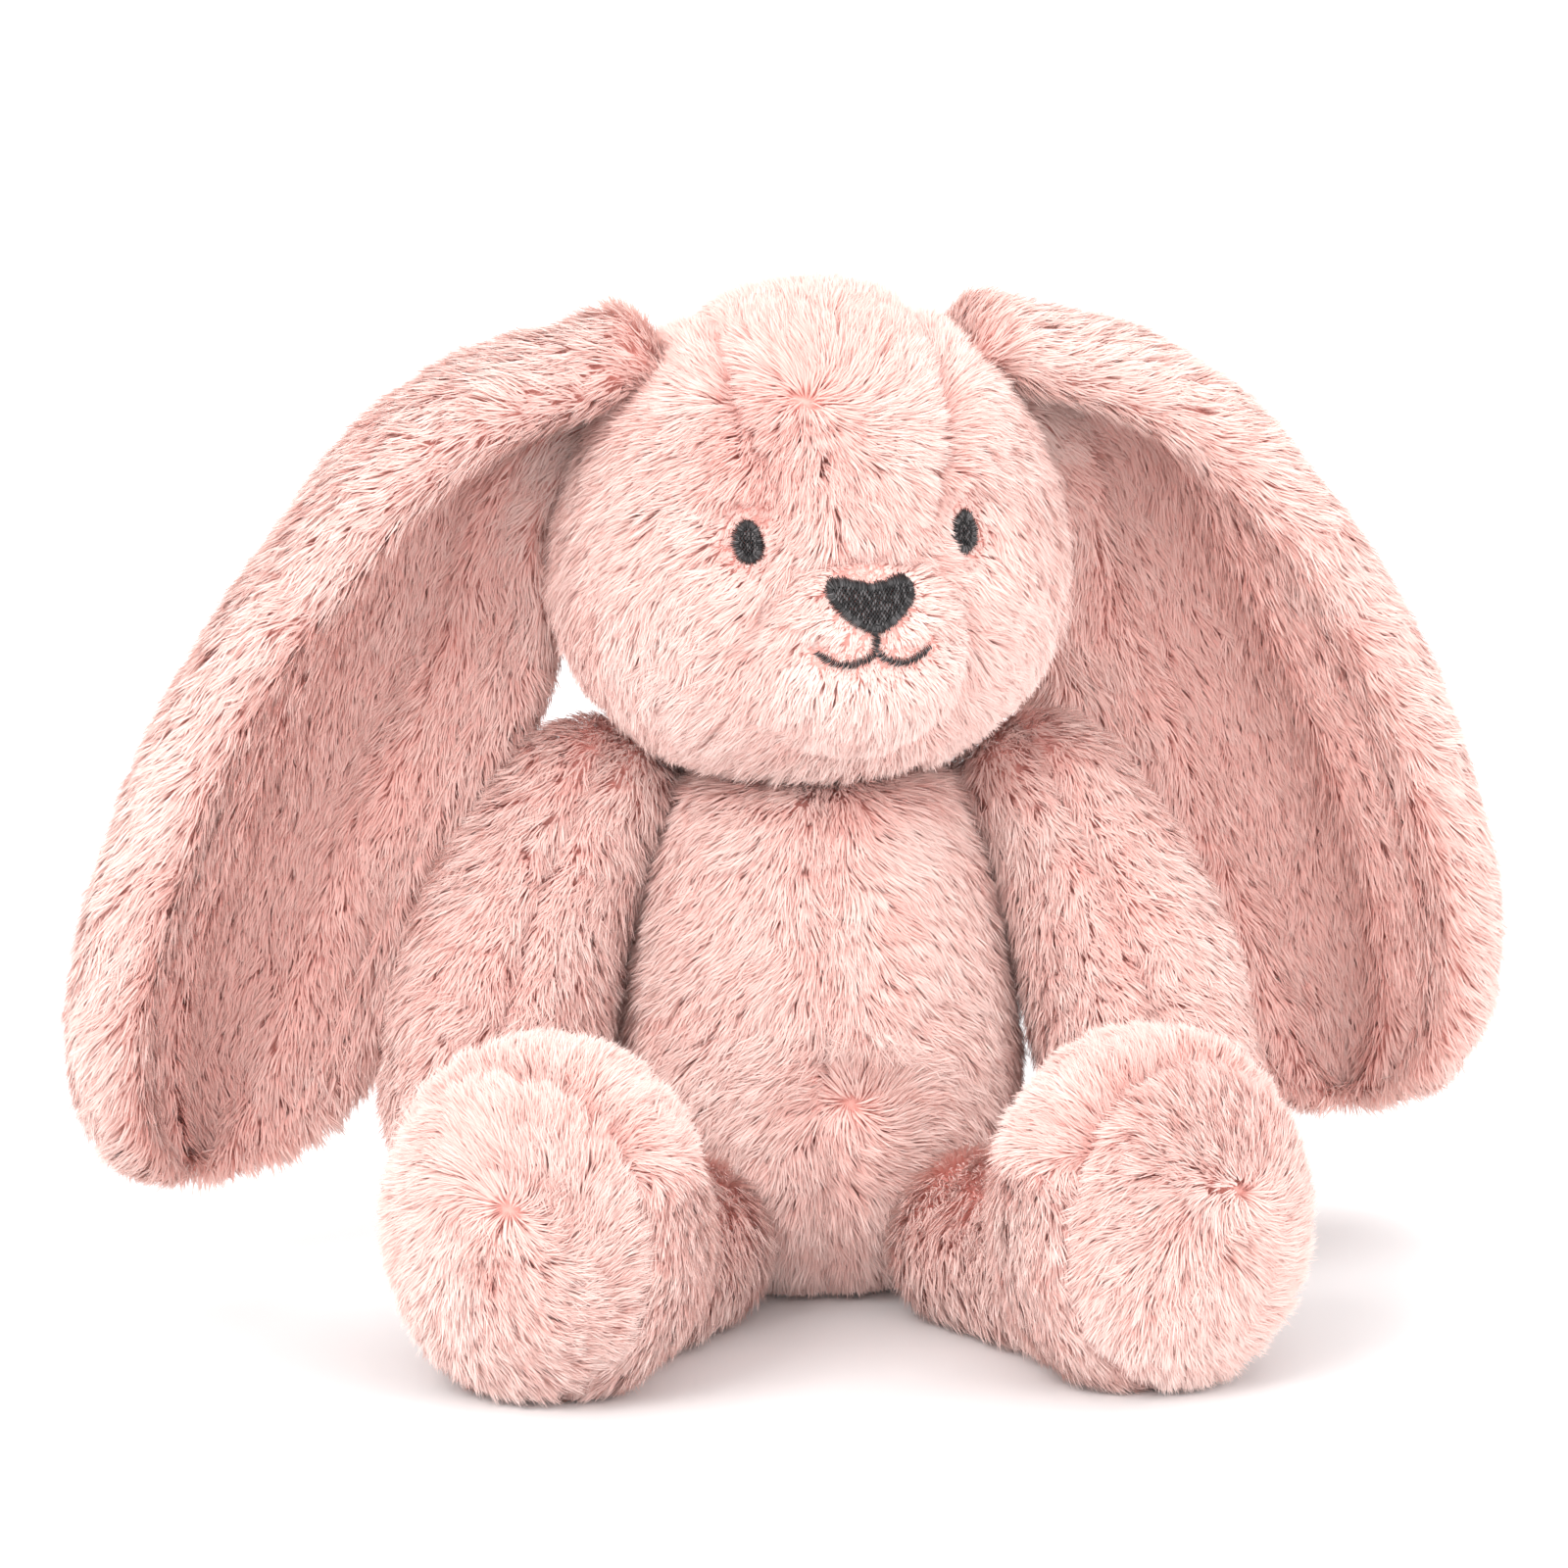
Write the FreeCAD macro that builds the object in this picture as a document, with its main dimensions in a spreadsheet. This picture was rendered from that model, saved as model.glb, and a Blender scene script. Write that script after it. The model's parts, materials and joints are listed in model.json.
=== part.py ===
"""A seated plush bunny with long lop ears, as the cloth panels, stuffings, pouch and threads that it is sewn from.

Millimetres. The origin is the centre of the flat seat, +Z is up, the toy faces -Y and its own left side is +X.
Each limb, the head and each ear is built in a frame of its own, whose origin is the seam that it swings on.
"""
import FreeCAD, Part
import math
import os

import Sketcher

doc = FreeCAD.newDocument("plush_bunny")
V = FreeCAD.Vector

# ---------------------------------------------------------------- driving dimensions
SIZES = (
    ("skin", 2.5, "plush cloth: its backing and the dense roots of the pile"),
    ("clearance", 0.15, "room between a stuffing and the cloth around it"),
    ("torso_radius", 48, "torso at its widest"),
    ("torso_widest", 44, "height of the torso's widest level"),
    ("torso_below", 56, "lower half-axis of the torso, cut off flat by the seat"),
    ("torso_above", 110, "upper half-axis of the torso, cut off by the neck"),
    ("neck_level", 127, "height of the neck opening"),
    ("neck_gap", 3, "from the neck opening up to the head"),
    ("neck_thread_ring", 24, "radius of the thread that closes the neck"),
    ("neck_thread", 1.6, "thickness of that thread"),
    ("head_half_width", 61, "head, side to side, at the cheeks"),
    ("head_half_depth", 58, "head, front to back, at the cheeks"),
    ("head_above", 71, "from the cheeks to the crown"),
    ("head_below", 46, "from the cheeks to the chin"),
    ("head_aside", 2, "how far the head leans over to the toy's right"),
    ("head_turn", 10.5, "degrees that the head looks towards the toy's left at rest"),
    ("gusset_half_width", 24, "half of the middle panel of the face"),
    ("cross_seam", 6, "seam over the head from ear to ear, behind the head's axis"),
    ("muzzle_half_width", 25, "snout, side to side"),
    ("muzzle_half_height", 24, "snout, up and down"),
    ("muzzle_half_depth", 20, "snout ellipsoid, front to back"),
    ("muzzle_front", 46, "snout's centre, in front of the head's axis"),
    ("muzzle_drop", 7, "snout's centre, below the cheeks' level"),
    ("eye_half_width", 3.3, "embroidered eye"),
    ("eye_half_height", 5, "embroidered eye"),
    ("eye_rise", 20, "eye above the cheeks' level"),
    ("eye_angle", 28, "degrees from the face's middle to an eye"),
    ("thread_rise", 2.2, "how far the embroidery stands above the cloth"),
    ("nose_width", 25, "embroidered nose"),
    ("nose_height", 14.5, "embroidered nose"),
    ("nose_rise", 20, "nose's top edge above the snout's centre"),
    ("nose_rounding", 2.5, "rounding of the nose's corners"),
    ("mouth_line", 1.9, "width of the mouth's stitches"),
    ("mouth_stem", 7.5, "upright stitch below the nose"),
    ("mouth_arc_radius", 9.7, "each half of the smile"),
    ("mouth_arc_half_angle", 47, "half of the turn of each half of the smile"),
    ("ear_length", 228, "ear, along its middle"),
    ("ear_half_width", 42, "ear at its widest"),
    ("ear_base_half_width", 15, "ear where it is gathered at the head"),
    ("ear_cloth", 2, "ear cloth"),
    ("ear_edge", 3.4, "ear thickness apart from what grows with its width"),
    ("ear_plump", 0.38, "ear thickness for each mm of half-width"),
    ("ear_ease", 0.4, "between the ear's two cloths at their seam, and from them to the wadding"),
    ("ear_curl", 58, "degrees that each rim curls forward"),
    ("ear_facing", 20, "degrees that the hollow side turns towards the face"),
    ("ear_root_angle", 10, "degrees below level where the ear leaves the head"),
    ("ear_fall_angle", 69, "degrees below level over most of the ear"),
    ("ear_tip_angle", 88, "degrees below level at the tip"),
    ("ear_bend", 0.26, "share of the ear over which it bends down from its root"),
    ("ear_drop", 0.7, "share of the ear after which it turns down to its tip"),
    ("ear_root_out", 58, "ear's root from the head's axis"),
    ("ear_root_back", 11, "ear's root behind the head's axis"),
    ("ear_root_rise", 50, "ear's root above the cheeks' level"),
    ("ear_sweep_back", 20, "how far the ear drifts back on its way down"),
    ("arm_length", 78, "from the shoulder's centre to the paw's centre"),
    ("arm_shoulder_radius", 17.5, "arm at the shoulder"),
    ("arm_paw_radius", 23, "arm at the paw"),
    ("arm_shoulder_level", 121, "height of the shoulder"),
    ("arm_seam_gap", 3, "from the torso to the arm"),
    ("arm_outward", 21, "degrees that the arm hangs outwards"),
    ("arm_forward", 16, "degrees that the arm hangs forwards"),
    ("leg_length", 68, "from the hip's centre to the foot's centre"),
    ("leg_hip_radius", 19, "leg at the hip"),
    ("leg_ankle_radius", 22, "leg at the foot"),
    ("leg_seam_gap", 1, "from the torso to the leg"),
    ("leg_seam", 3, "seam along the leg, to the inner side of its axis"),
    ("hip_angle", 36, "degrees from the belly's middle to the hip"),
    ("leg_splay", 31, "degrees that the leg points outwards"),
    ("foot_turn", 18, "degrees that the sole faces outwards"),
    ("foot_half_width", 36, "foot, side to side"),
    ("foot_half_depth", 29, "foot, front to back"),
    ("foot_half_height", 41, "foot, up and down"),
    ("sole_plane", 13, "sole seam, in front of the foot's centre"),
    ("pouch_radius", 27, "pouch of pellets in the seat"),
    ("pouch_half_height", 11, "pouch of pellets in the seat"),
    ("pouch_cloth", 1, "cloth of the pouch"),
    ("pouch_lift", 6, "from the seat's cloth up to the pouch"),
    ("tail_radius", 18, "round tail"),
    ("tail_level", 34, "height of the tail"),
    ("tail_sunk", 5, "how far the tail's sphere is sunk into the back"),
    ("label_length", 24, "care label, out from the back"),
    ("label_height", 17, "care label, up and down"),
    ("label_thick", 0.6, "folded tape of the care label"),
    ("label_level", 30, "height of the care label's lower edge"),
    ("label_angle", 55, "degrees round from the tail to the care label"),
    ("stitch_radius", 0.7, "thread of the stitches that close the back"),
    ("stitch_length", 7, "each closing stitch"),
    ("stitch_pitch", 8, "from one closing stitch to the next"),
    ("stitch_level", 62, "height of the lowest closing stitch"),
    ("stitch_count", 5, "number of closing stitches"),
)
sheet = doc.addObject("Spreadsheet::Sheet", "Sizes")
for row, (alias, value, note) in enumerate(SIZES, start=1):
    sheet.set(f"A{row}", alias)
    sheet.set(f"B{row}", str(value))
    sheet.set(f"C{row}", note)
    sheet.setAlias(f"B{row}", alias)
doc.recompute()

REACH = 400  # larger than the toy, for the boxes that cut panels apart
CLEAR = " + Sizes.clearance"  # ends the expression of a half-axis that grows by the clearance
finished = []


def size(alias):
    return float(getattr(sheet, alias))


def finish(piece, node, placement=None):
    """Names a piece after its node and puts it in its place."""
    piece.Label = node
    if placement is not None:
        piece.Placement = placement
    finished.append(piece)
    return piece


# ---------------------------------------------------------------- shared shapes
def half_ellipsoid(name, across, deep, tall, upper):
    """Upper or lower half of an ellipsoid about the origin, from three expressions."""
    half = doc.addObject("Part::Ellipsoid", name)
    half.setExpression("Radius1", tall)
    half.setExpression("Radius2", across)
    half.setExpression("Radius3", deep)
    half.Angle1 = 0 if upper else -90
    half.Angle2 = 90 if upper else 0
    return half


def joined(name, *parts):
    union = doc.addObject("Part::MultiFuse", name)
    union.Shapes = list(parts)
    return union


def cut(name, base, tool):
    result = doc.addObject("Part::Cut", name)
    result.Base = base
    result.Tool = tool
    return result


def common(name, base, tool):
    result = doc.addObject("Part::Common", name)
    result.Base = base
    result.Tool = tool
    return result


def less(*aliases):
    """The end of an expression that takes the named sizes off."""
    return "".join(f" - Sizes.{alias}" for alias in aliases)


def egg(name, across, deep, above, below, change=""):
    """Two half ellipsoids on one level; change ends the expression of each of their half-axes."""
    across, deep, above, below = (f"Sizes.{alias}{change}" for alias in (across, deep, above, below))
    upper = half_ellipsoid(f"{name}_upper", across, deep, above, True)
    lower = half_ellipsoid(f"{name}_lower", across, deep, below, False)
    return joined(name, upper, lower)


def block(name, low, high):
    """A box between two corners, each corner given as three expressions."""
    box = doc.addObject("Part::Box", name)
    for side, start, end in zip(("Length", "Width", "Height"), low, high):
        box.setExpression(side, f"({end}) - ({start})")
    for axis, start in zip("xyz", low):
        box.setExpression(f"Placement.Base.{axis}", str(start))
    return box


def capsule(name, top, end, length, taken_off=(), wall=None, sweep=360):
    """A rounded, tapered limb down -Z from the origin: a ball at each end and the cone that touches both.

    Its sizes are named cells of the sheet. With a wall it is a shell of that thickness.
    Sweep is how far its profile turns about Z.
    """
    body = doc.addObject("PartDesign::Body", name)
    sketch = body.newObject("Sketcher::SketchObject", f"{name}_profile")
    plane = next(o for o in body.Origin.OriginFeatures if o.Role == "XZ_Plane")
    sketch.AttachmentSupport = [(plane, "")]
    sketch.MapMode = "FlatFace"

    tilt = math.asin((size(end) - size(top)) / size(length))
    touch = V(math.cos(tilt), math.sin(tilt), 0)
    far = V(0, -size(length), 0)
    crown = math.pi / 2
    rims = []
    for layer in [()] if wall is None else [(), (wall,)]:
        removed = taken_off + layer
        depth = sum(size(alias) for alias in removed)
        top_radius, end_radius = size(top) - depth, size(end) - depth
        top_arc = sketch.addGeometry(
            Part.ArcOfCircle(Part.Circle(V(), V(0, 0, 1), top_radius), tilt, crown))
        side = sketch.addGeometry(Part.LineSegment(touch * top_radius, far + touch * end_radius))
        end_arc = sketch.addGeometry(
            Part.ArcOfCircle(Part.Circle(far, V(0, 0, 1), end_radius), -crown, tilt))
        joints = (
            ("Coincident", top_arc, 3, -1, 1),
            ("Tangent", top_arc, 1, side, 1),
            ("Tangent", side, 2, end_arc, 2),
            ("PointOnObject", end_arc, 3, -2),
            ("PointOnObject", top_arc, 2, -2),
            ("PointOnObject", end_arc, 1, -2),
        )
        for joint in joints:
            sketch.addConstraint(Sketcher.Constraint(*joint))
        for arc, alias, radius in ((top_arc, top, top_radius), (end_arc, end, end_radius)):
            number = sketch.addConstraint(Sketcher.Constraint("Radius", arc, radius))
            sketch.setExpression(f"Constraints[{number}]", f"Sizes.{alias}{less(*removed)}")
        number = sketch.addConstraint(
            Sketcher.Constraint("DistanceY", end_arc, 3, -1, 1, size(length)))
        sketch.setExpression(f"Constraints[{number}]", f"Sizes.{length}")
        rims.append((top_arc, end_arc, V(0, top_radius, 0), far - V(0, end_radius, 0)))
    outer, inner = rims[0], rims[-1]
    if wall is None:
        edges = [(outer[2], outer[3], (outer[0], 2), (outer[1], 1))]
    else:
        edges = [(outer[2], inner[2], (outer[0], 2), (inner[0], 2)),
                 (outer[3], inner[3], (outer[1], 1), (inner[1], 1))]
    for start, stop, start_arc, stop_arc in edges:
        line = sketch.addGeometry(Part.LineSegment(start, stop))
        sketch.addConstraint(Sketcher.Constraint("Coincident", line, 1, *start_arc))
        sketch.addConstraint(Sketcher.Constraint("Coincident", line, 2, *stop_arc))

    turned = body.newObject("PartDesign::Revolution", f"{name}_turned")
    turned.Profile = sketch
    turned.ReferenceAxis = (sketch, ["V_Axis"])
    turned.Angle = sweep
    return body


# ---------------------------------------------------------------- torso
def torso_egg(name, change=""):
    """The torso's outline before the seat and the neck cut it off."""
    whole = egg(name, "torso_radius", "torso_radius", "torso_above", "torso_below", change)
    whole.setExpression("Placement.Base.z", "Sizes.torso_widest")
    return whole


def torso_radius_at(level):
    """The torso's radius at a height, from its two half-axes."""
    rise = level - size("torso_widest")
    half_axis = size("torso_above") if rise > 0 else size("torso_below")
    return size("torso_radius") * math.sqrt(1 - (rise / half_axis) ** 2)


torso_outside = torso_egg("torso_outside")
torso_inside = torso_egg("torso_inside", less("skin"))
torso_wall = cut("torso_wall", torso_outside, torso_inside)
quarters = {
    "torso_front_left": (0, -REACH),
    "torso_front_right": (-REACH, -REACH),
    "torso_back_left": (0, 0),
    "torso_back_right": (-REACH, 0),
}
for node, (x, y) in quarters.items():
    quarter = block(f"{node}_quarter", (x, y, "Sizes.skin"), (x + REACH, y + REACH, "Sizes.neck_level"))
    finish(common(node, torso_wall, quarter), node)

seat_slab = block("seat_slab", (-REACH, -REACH, 0), (REACH, REACH, "Sizes.skin"))
seat = finish(common("seat_panel", torso_outside, seat_slab), "seat_panel")

pouch_level = "Sizes.skin + Sizes.pouch_lift + Sizes.pouch_half_height"


def pouch_ellipsoid(name, change=""):
    whole = egg(name, "pouch_radius", "pouch_radius", "pouch_half_height", "pouch_half_height", change)
    whole.setExpression("Placement.Base.z", pouch_level)
    return whole


pouch_outside = pouch_ellipsoid("pouch_outside")
pouch_inside = pouch_ellipsoid("pouch_inside", less("pouch_cloth"))
finish(cut("pellet_pouch", pouch_outside, pouch_inside), "pellet_pouch")
finish(pouch_ellipsoid("pellets", less("pouch_cloth", "clearance")), "pellets")

torso_fill_egg = torso_egg("torso_fill_egg", less("skin", "clearance"))
torso_fill_slab = block("torso_fill_slab", (-REACH, -REACH, "Sizes.skin + Sizes.clearance"),
                        (REACH, REACH, "Sizes.neck_level"))
torso_fill = common("torso_fill", torso_fill_egg, torso_fill_slab)
pouch_hollow = pouch_ellipsoid("pouch_hollow", CLEAR)
finish(cut("torso_stuffing", torso_fill, pouch_hollow), "torso_stuffing")

# ---------------------------------------------------------------- tail, label and closing stitches
tail_place = FreeCAD.Placement(
    V(0, torso_radius_at(size("tail_level")) + size("tail_radius") - size("tail_sunk"),
      size("tail_level")),
    FreeCAD.Rotation())
torso_keepout = torso_egg("torso_keepout", CLEAR)


def tail_ball(name, change=""):
    ball = doc.addObject("Part::Sphere", name)
    ball.setExpression("Radius", f"Sizes.tail_radius{change}")
    ball.Placement = tail_place
    return ball


tail_wall = cut("tail_wall", tail_ball("tail_outside"), tail_ball("tail_inside", less("skin")))
finish(cut("tail_skin", tail_wall, torso_keepout), "tail_skin")
tail_fill = tail_ball("tail_fill", less("skin", "clearance"))
finish(cut("tail_stuffing", tail_fill, torso_keepout), "tail_stuffing")

label_angle = math.radians(size("label_angle"))
label_out = V(math.sin(label_angle), math.cos(label_angle), 0)
label_side = V(label_out.y, -label_out.x, 0)
label_turn = FreeCAD.Rotation(label_out, label_side, V(0, 0, 1), "XZY")
label = doc.addObject("Part::Box", "care_label_tape")
label.setExpression("Length", "Sizes.label_length")
label.setExpression("Width", "Sizes.label_thick")
label.setExpression("Height", "Sizes.label_height")
label.Placement = FreeCAD.Placement(
    label_out * (torso_radius_at(size("label_level")) - size("skin"))
    + V(0, 0, size("label_level")), label_turn)
finish(cut("care_label", label, torso_keepout), "care_label")

stitches = []
for number in range(int(size("stitch_count"))):
    level = size("stitch_level") + number * size("stitch_pitch")
    stitch = doc.addObject("Part::Cylinder", f"stitch_{number + 1}")
    stitch.setExpression("Radius", "Sizes.stitch_radius")
    stitch.setExpression("Height", "Sizes.stitch_length")
    behind = torso_radius_at(level) + size("stitch_radius") + size("clearance")
    stitch.Placement = FreeCAD.Placement(
        V(-size("stitch_length") / 2, behind, level), FreeCAD.Rotation(V(0, 1, 0), 90))
    stitches.append(stitch)
back_stitches = doc.addObject("Part::Compound", "back_closing_stitches")
back_stitches.Links = stitches
finish(back_stitches, "back_closing_stitches")

# ---------------------------------------------------------------- neck and head
neck_ring = doc.addObject("Part::Torus", "neck_thread")
neck_ring.setExpression("Radius1", "Sizes.neck_thread_ring")
neck_ring.setExpression("Radius2", "Sizes.neck_thread / 2")
finish(neck_ring, "neck_thread", FreeCAD.Placement(
    V(0, 0, size("neck_level") + size("neck_thread") / 2 + size("clearance")), FreeCAD.Rotation()))

cheek_level = size("neck_level") + size("neck_gap") + size("head_below")
head_place = FreeCAD.Placement(
    V(-size("head_aside"), 0, cheek_level), FreeCAD.Rotation(V(0, 0, 1), size("head_turn")))


def head_egg(name, change=""):
    """The head's outline about the middle of the cheeks' level."""
    return egg(name, "head_half_width", "head_half_depth", "head_above", "head_below", change)


def muzzle_egg(name, change=""):
    snout = egg(name, "muzzle_half_width", "muzzle_half_depth", "muzzle_half_height",
                "muzzle_half_height", change)
    snout.setExpression("Placement.Base.y", "-Sizes.muzzle_front")
    snout.setExpression("Placement.Base.z", "-Sizes.muzzle_drop")
    return snout


head_wall = cut("head_wall", head_egg("head_outside"), head_egg("head_inside", less("skin")))
side, cross = "Sizes.gusset_half_width", "Sizes.cross_seam"
head_panels = {
    "face_gusset": ((f"-{side}", -REACH, -REACH), (side, cross, REACH)),
    "nape_gusset": ((f"-{side}", cross, -REACH), (side, REACH, REACH)),
    "cheek_left": ((side, -REACH, -REACH), (REACH, cross, REACH)),
    "cheek_right": ((-REACH, -REACH, -REACH), (f"-{side}", cross, REACH)),
    "head_back_left": ((side, cross, -REACH), (REACH, REACH, REACH)),
    "head_back_right": ((-REACH, cross, -REACH), (f"-{side}", REACH, REACH)),
}
for node, (low, high) in head_panels.items():
    finish(common(node, head_wall, block(f"{node}_region", low, high)), node, head_place)
finish(head_egg("head_stuffing", less("skin", "clearance")), "head_stuffing", head_place)

head_keepout = head_egg("head_keepout", CLEAR)
muzzle_wall = cut("muzzle_wall", muzzle_egg("muzzle_outside"), muzzle_egg("muzzle_inside", less("skin")))
finish(cut("muzzle_panel", muzzle_wall, head_keepout), "muzzle_panel", head_place)
muzzle_fill = muzzle_egg("muzzle_fill", less("skin", "clearance"))
finish(cut("muzzle_stuffing", muzzle_fill, head_keepout), "muzzle_stuffing", head_place)

# ---------------------------------------------------------------- embroidered face
head_over = head_egg("head_over", " + Sizes.thread_rise")
head_thread_layer = cut("head_thread_layer", head_over, head_keepout)
for node, hand in (("eye_left", 1), ("eye_right", -1)):
    oval = doc.addObject("Part::Ellipse", f"{node}_oval")
    oval.setExpression("MajorRadius", "Sizes.eye_half_height")
    oval.setExpression("MinorRadius", "Sizes.eye_half_width")
    looking = FreeCAD.Rotation(V(0, 0, 1), hand * size("eye_angle"))
    upright = FreeCAD.Rotation(V(0, 1, 0), 90) * FreeCAD.Rotation(V(1, 0, 0), 90)
    oval.Placement = FreeCAD.Placement(V(0, 0, size("eye_rise")), looking * upright)
    column = doc.addObject("Part::Extrusion", f"{node}_column")
    column.Base = oval
    column.DirMode = "Custom"
    column.Dir = looking.multVec(V(0, -1, 0))
    column.LengthFwd = REACH / 2
    column.Solid = True
    finish(common(node, head_thread_layer, column), node, head_place)

face_over = joined("face_over", head_egg("face_over_head", " + Sizes.thread_rise"),
                   muzzle_egg("face_over_muzzle", " + Sizes.thread_rise"))
face_keepout = joined("face_keepout", head_egg("face_keepout_head", CLEAR),
                      muzzle_egg("face_keepout_muzzle", CLEAR))
face_thread_layer = cut("face_thread_layer", face_over, face_keepout)

nose_body = doc.addObject("PartDesign::Body", "nose_outline")
nose_sketch = nose_body.newObject("Sketcher::SketchObject", "nose_profile")
nose_plane = next(o for o in nose_body.Origin.OriginFeatures if o.Role == "XZ_Plane")
nose_sketch.AttachmentSupport = [(nose_plane, "")]
nose_sketch.MapMode = "FlatFace"
half_nose = size("nose_width") / 2
nose_corners = (V(-half_nose, 0, 0), V(half_nose, 0, 0), V(0, -size("nose_height"), 0))
for start, end in ((0, 1), (1, 2), (2, 0)):
    nose_sketch.addGeometry(Part.LineSegment(nose_corners[start], nose_corners[end]))
nose_sketch.addConstraint(Sketcher.Constraint("Coincident", 0, 2, 1, 1))
nose_sketch.addConstraint(Sketcher.Constraint("Coincident", 1, 2, 2, 1))
nose_sketch.addConstraint(Sketcher.Constraint("Coincident", 2, 2, 0, 1))
nose_sketch.addConstraint(Sketcher.Constraint("Symmetric", 0, 1, 0, 2, -2))
nose_sketch.addConstraint(Sketcher.Constraint("PointOnObject", 1, 2, -2))
nose_sketch.addConstraint(Sketcher.Constraint("PointOnObject", 0, 1, -1))
number = nose_sketch.addConstraint(Sketcher.Constraint("DistanceX", 0, 1, 0, 2, size("nose_width")))
nose_sketch.setExpression(f"Constraints[{number}]", "Sizes.nose_width")
number = nose_sketch.addConstraint(Sketcher.Constraint("DistanceY", 1, 2, -1, 1, size("nose_height")))
nose_sketch.setExpression(f"Constraints[{number}]", "Sizes.nose_height")
nose_pad = nose_body.newObject("PartDesign::Pad", "nose_pad")
nose_pad.Profile = nose_sketch
nose_pad.Length = REACH / 2
doc.recompute()
corner_edges = [
    f"Edge{n}" for n, edge in enumerate(nose_pad.Shape.Edges, start=1)
    if abs(edge.tangentAt(edge.FirstParameter).y) > 0.99
]
nose_round = nose_body.newObject("PartDesign::Fillet", "nose_round")
nose_round.Base = (nose_pad, corner_edges)
nose_round.setExpression("Radius", "Sizes.nose_rounding")
nose_body.Tip = nose_round
nose_level = size("nose_rise") - size("muzzle_drop")
nose_body.Placement = FreeCAD.Placement(V(0, 0, nose_level), FreeCAD.Rotation())
finish(common("nose", face_thread_layer, nose_body), "nose", head_place)

stem_top = nose_level - size("nose_height") - size("clearance")
mouth_level = stem_top - size("mouth_stem")


def bent_stitch(name, hand):
    """Half of the smile: a band of a ring that starts at the foot of the stem."""
    rings = []
    for rim, sign in (("outer", "+"), ("inner", "-")):
        ring = doc.addObject("Part::Cylinder", f"{name}_{rim}")
        ring.setExpression("Radius", f"Sizes.mouth_arc_radius {sign} Sizes.mouth_line / 2")
        ring.setExpression("Angle", "2 * Sizes.mouth_arc_half_angle")
        ring.Height = REACH / 2
        rings.append(ring)
    band = cut(name, *rings)
    half_angle = size("mouth_arc_half_angle")
    aside = size("mouth_arc_radius") * math.sin(math.radians(half_angle))
    above = size("mouth_arc_radius") * math.cos(math.radians(half_angle))
    band.Placement = FreeCAD.Placement(
        V(hand * aside, 0, mouth_level + above),
        FreeCAD.Rotation(V(1, 0, 0), 90) * FreeCAD.Rotation(V(0, 0, 1), -90 - half_angle))
    return band


stem = block("mouth_stem_block", ("-Sizes.mouth_line / 2", -REACH / 2, mouth_level),
             ("Sizes.mouth_line / 2", 0, stem_top))
smile = joined("smile", stem, bent_stitch("smile_left", 1), bent_stitch("smile_right", -1))
finish(common("mouth", face_thread_layer, smile), "mouth", head_place)


# ---------------------------------------------------------------- ears
STATIONS = 13
TIP_STATION = 0.985  # share of the ear's length at the last cross-section
TIP_CROWDING = 1.5  # how much closer the cross-sections are at the tip than at the root
EAR_FULL_WIDTH = 0.6  # share of the ear's length at which it reaches its full width


def ear_half_width(t):
    """Half-width along the ear: widens over the first half, stays full, and ends round."""
    along = min(1.0, t / EAR_FULL_WIDTH)
    grown = along * along * (3 - 2 * along)
    base = size("ear_base_half_width")
    return (base + (size("ear_half_width") - base) * grown) * math.sqrt(1 - t**9)


def ear_angle(t):
    """Degrees below level of the ear's middle line: root, straight fall and tip."""
    root, fall, tip = size("ear_root_angle"), size("ear_fall_angle"), size("ear_tip_angle")
    bent = min(1.0, t / size("ear_bend"))
    dropped = max(0.0, (t - size("ear_drop")) / (1 - size("ear_drop")))
    return root + (fall - root) * bent + (tip - fall) * dropped


def ear_middle(t, steps=80):
    """A point of the ear's middle line and its direction, by adding up short steps."""
    point = V(size("ear_root_out"), size("ear_root_back"), size("ear_root_rise"))
    for number in range(steps):
        angle = math.radians(ear_angle(t * (number + 0.5) / steps))
        point += V(math.cos(angle), 0, -math.sin(angle)) * (size("ear_length") * t / steps)
    point.y += size("ear_sweep_back") * math.sin(math.pi / 2 * t)
    angle = math.radians(ear_angle(t))
    return point, V(math.cos(angle), 0, -math.sin(angle))


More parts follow.
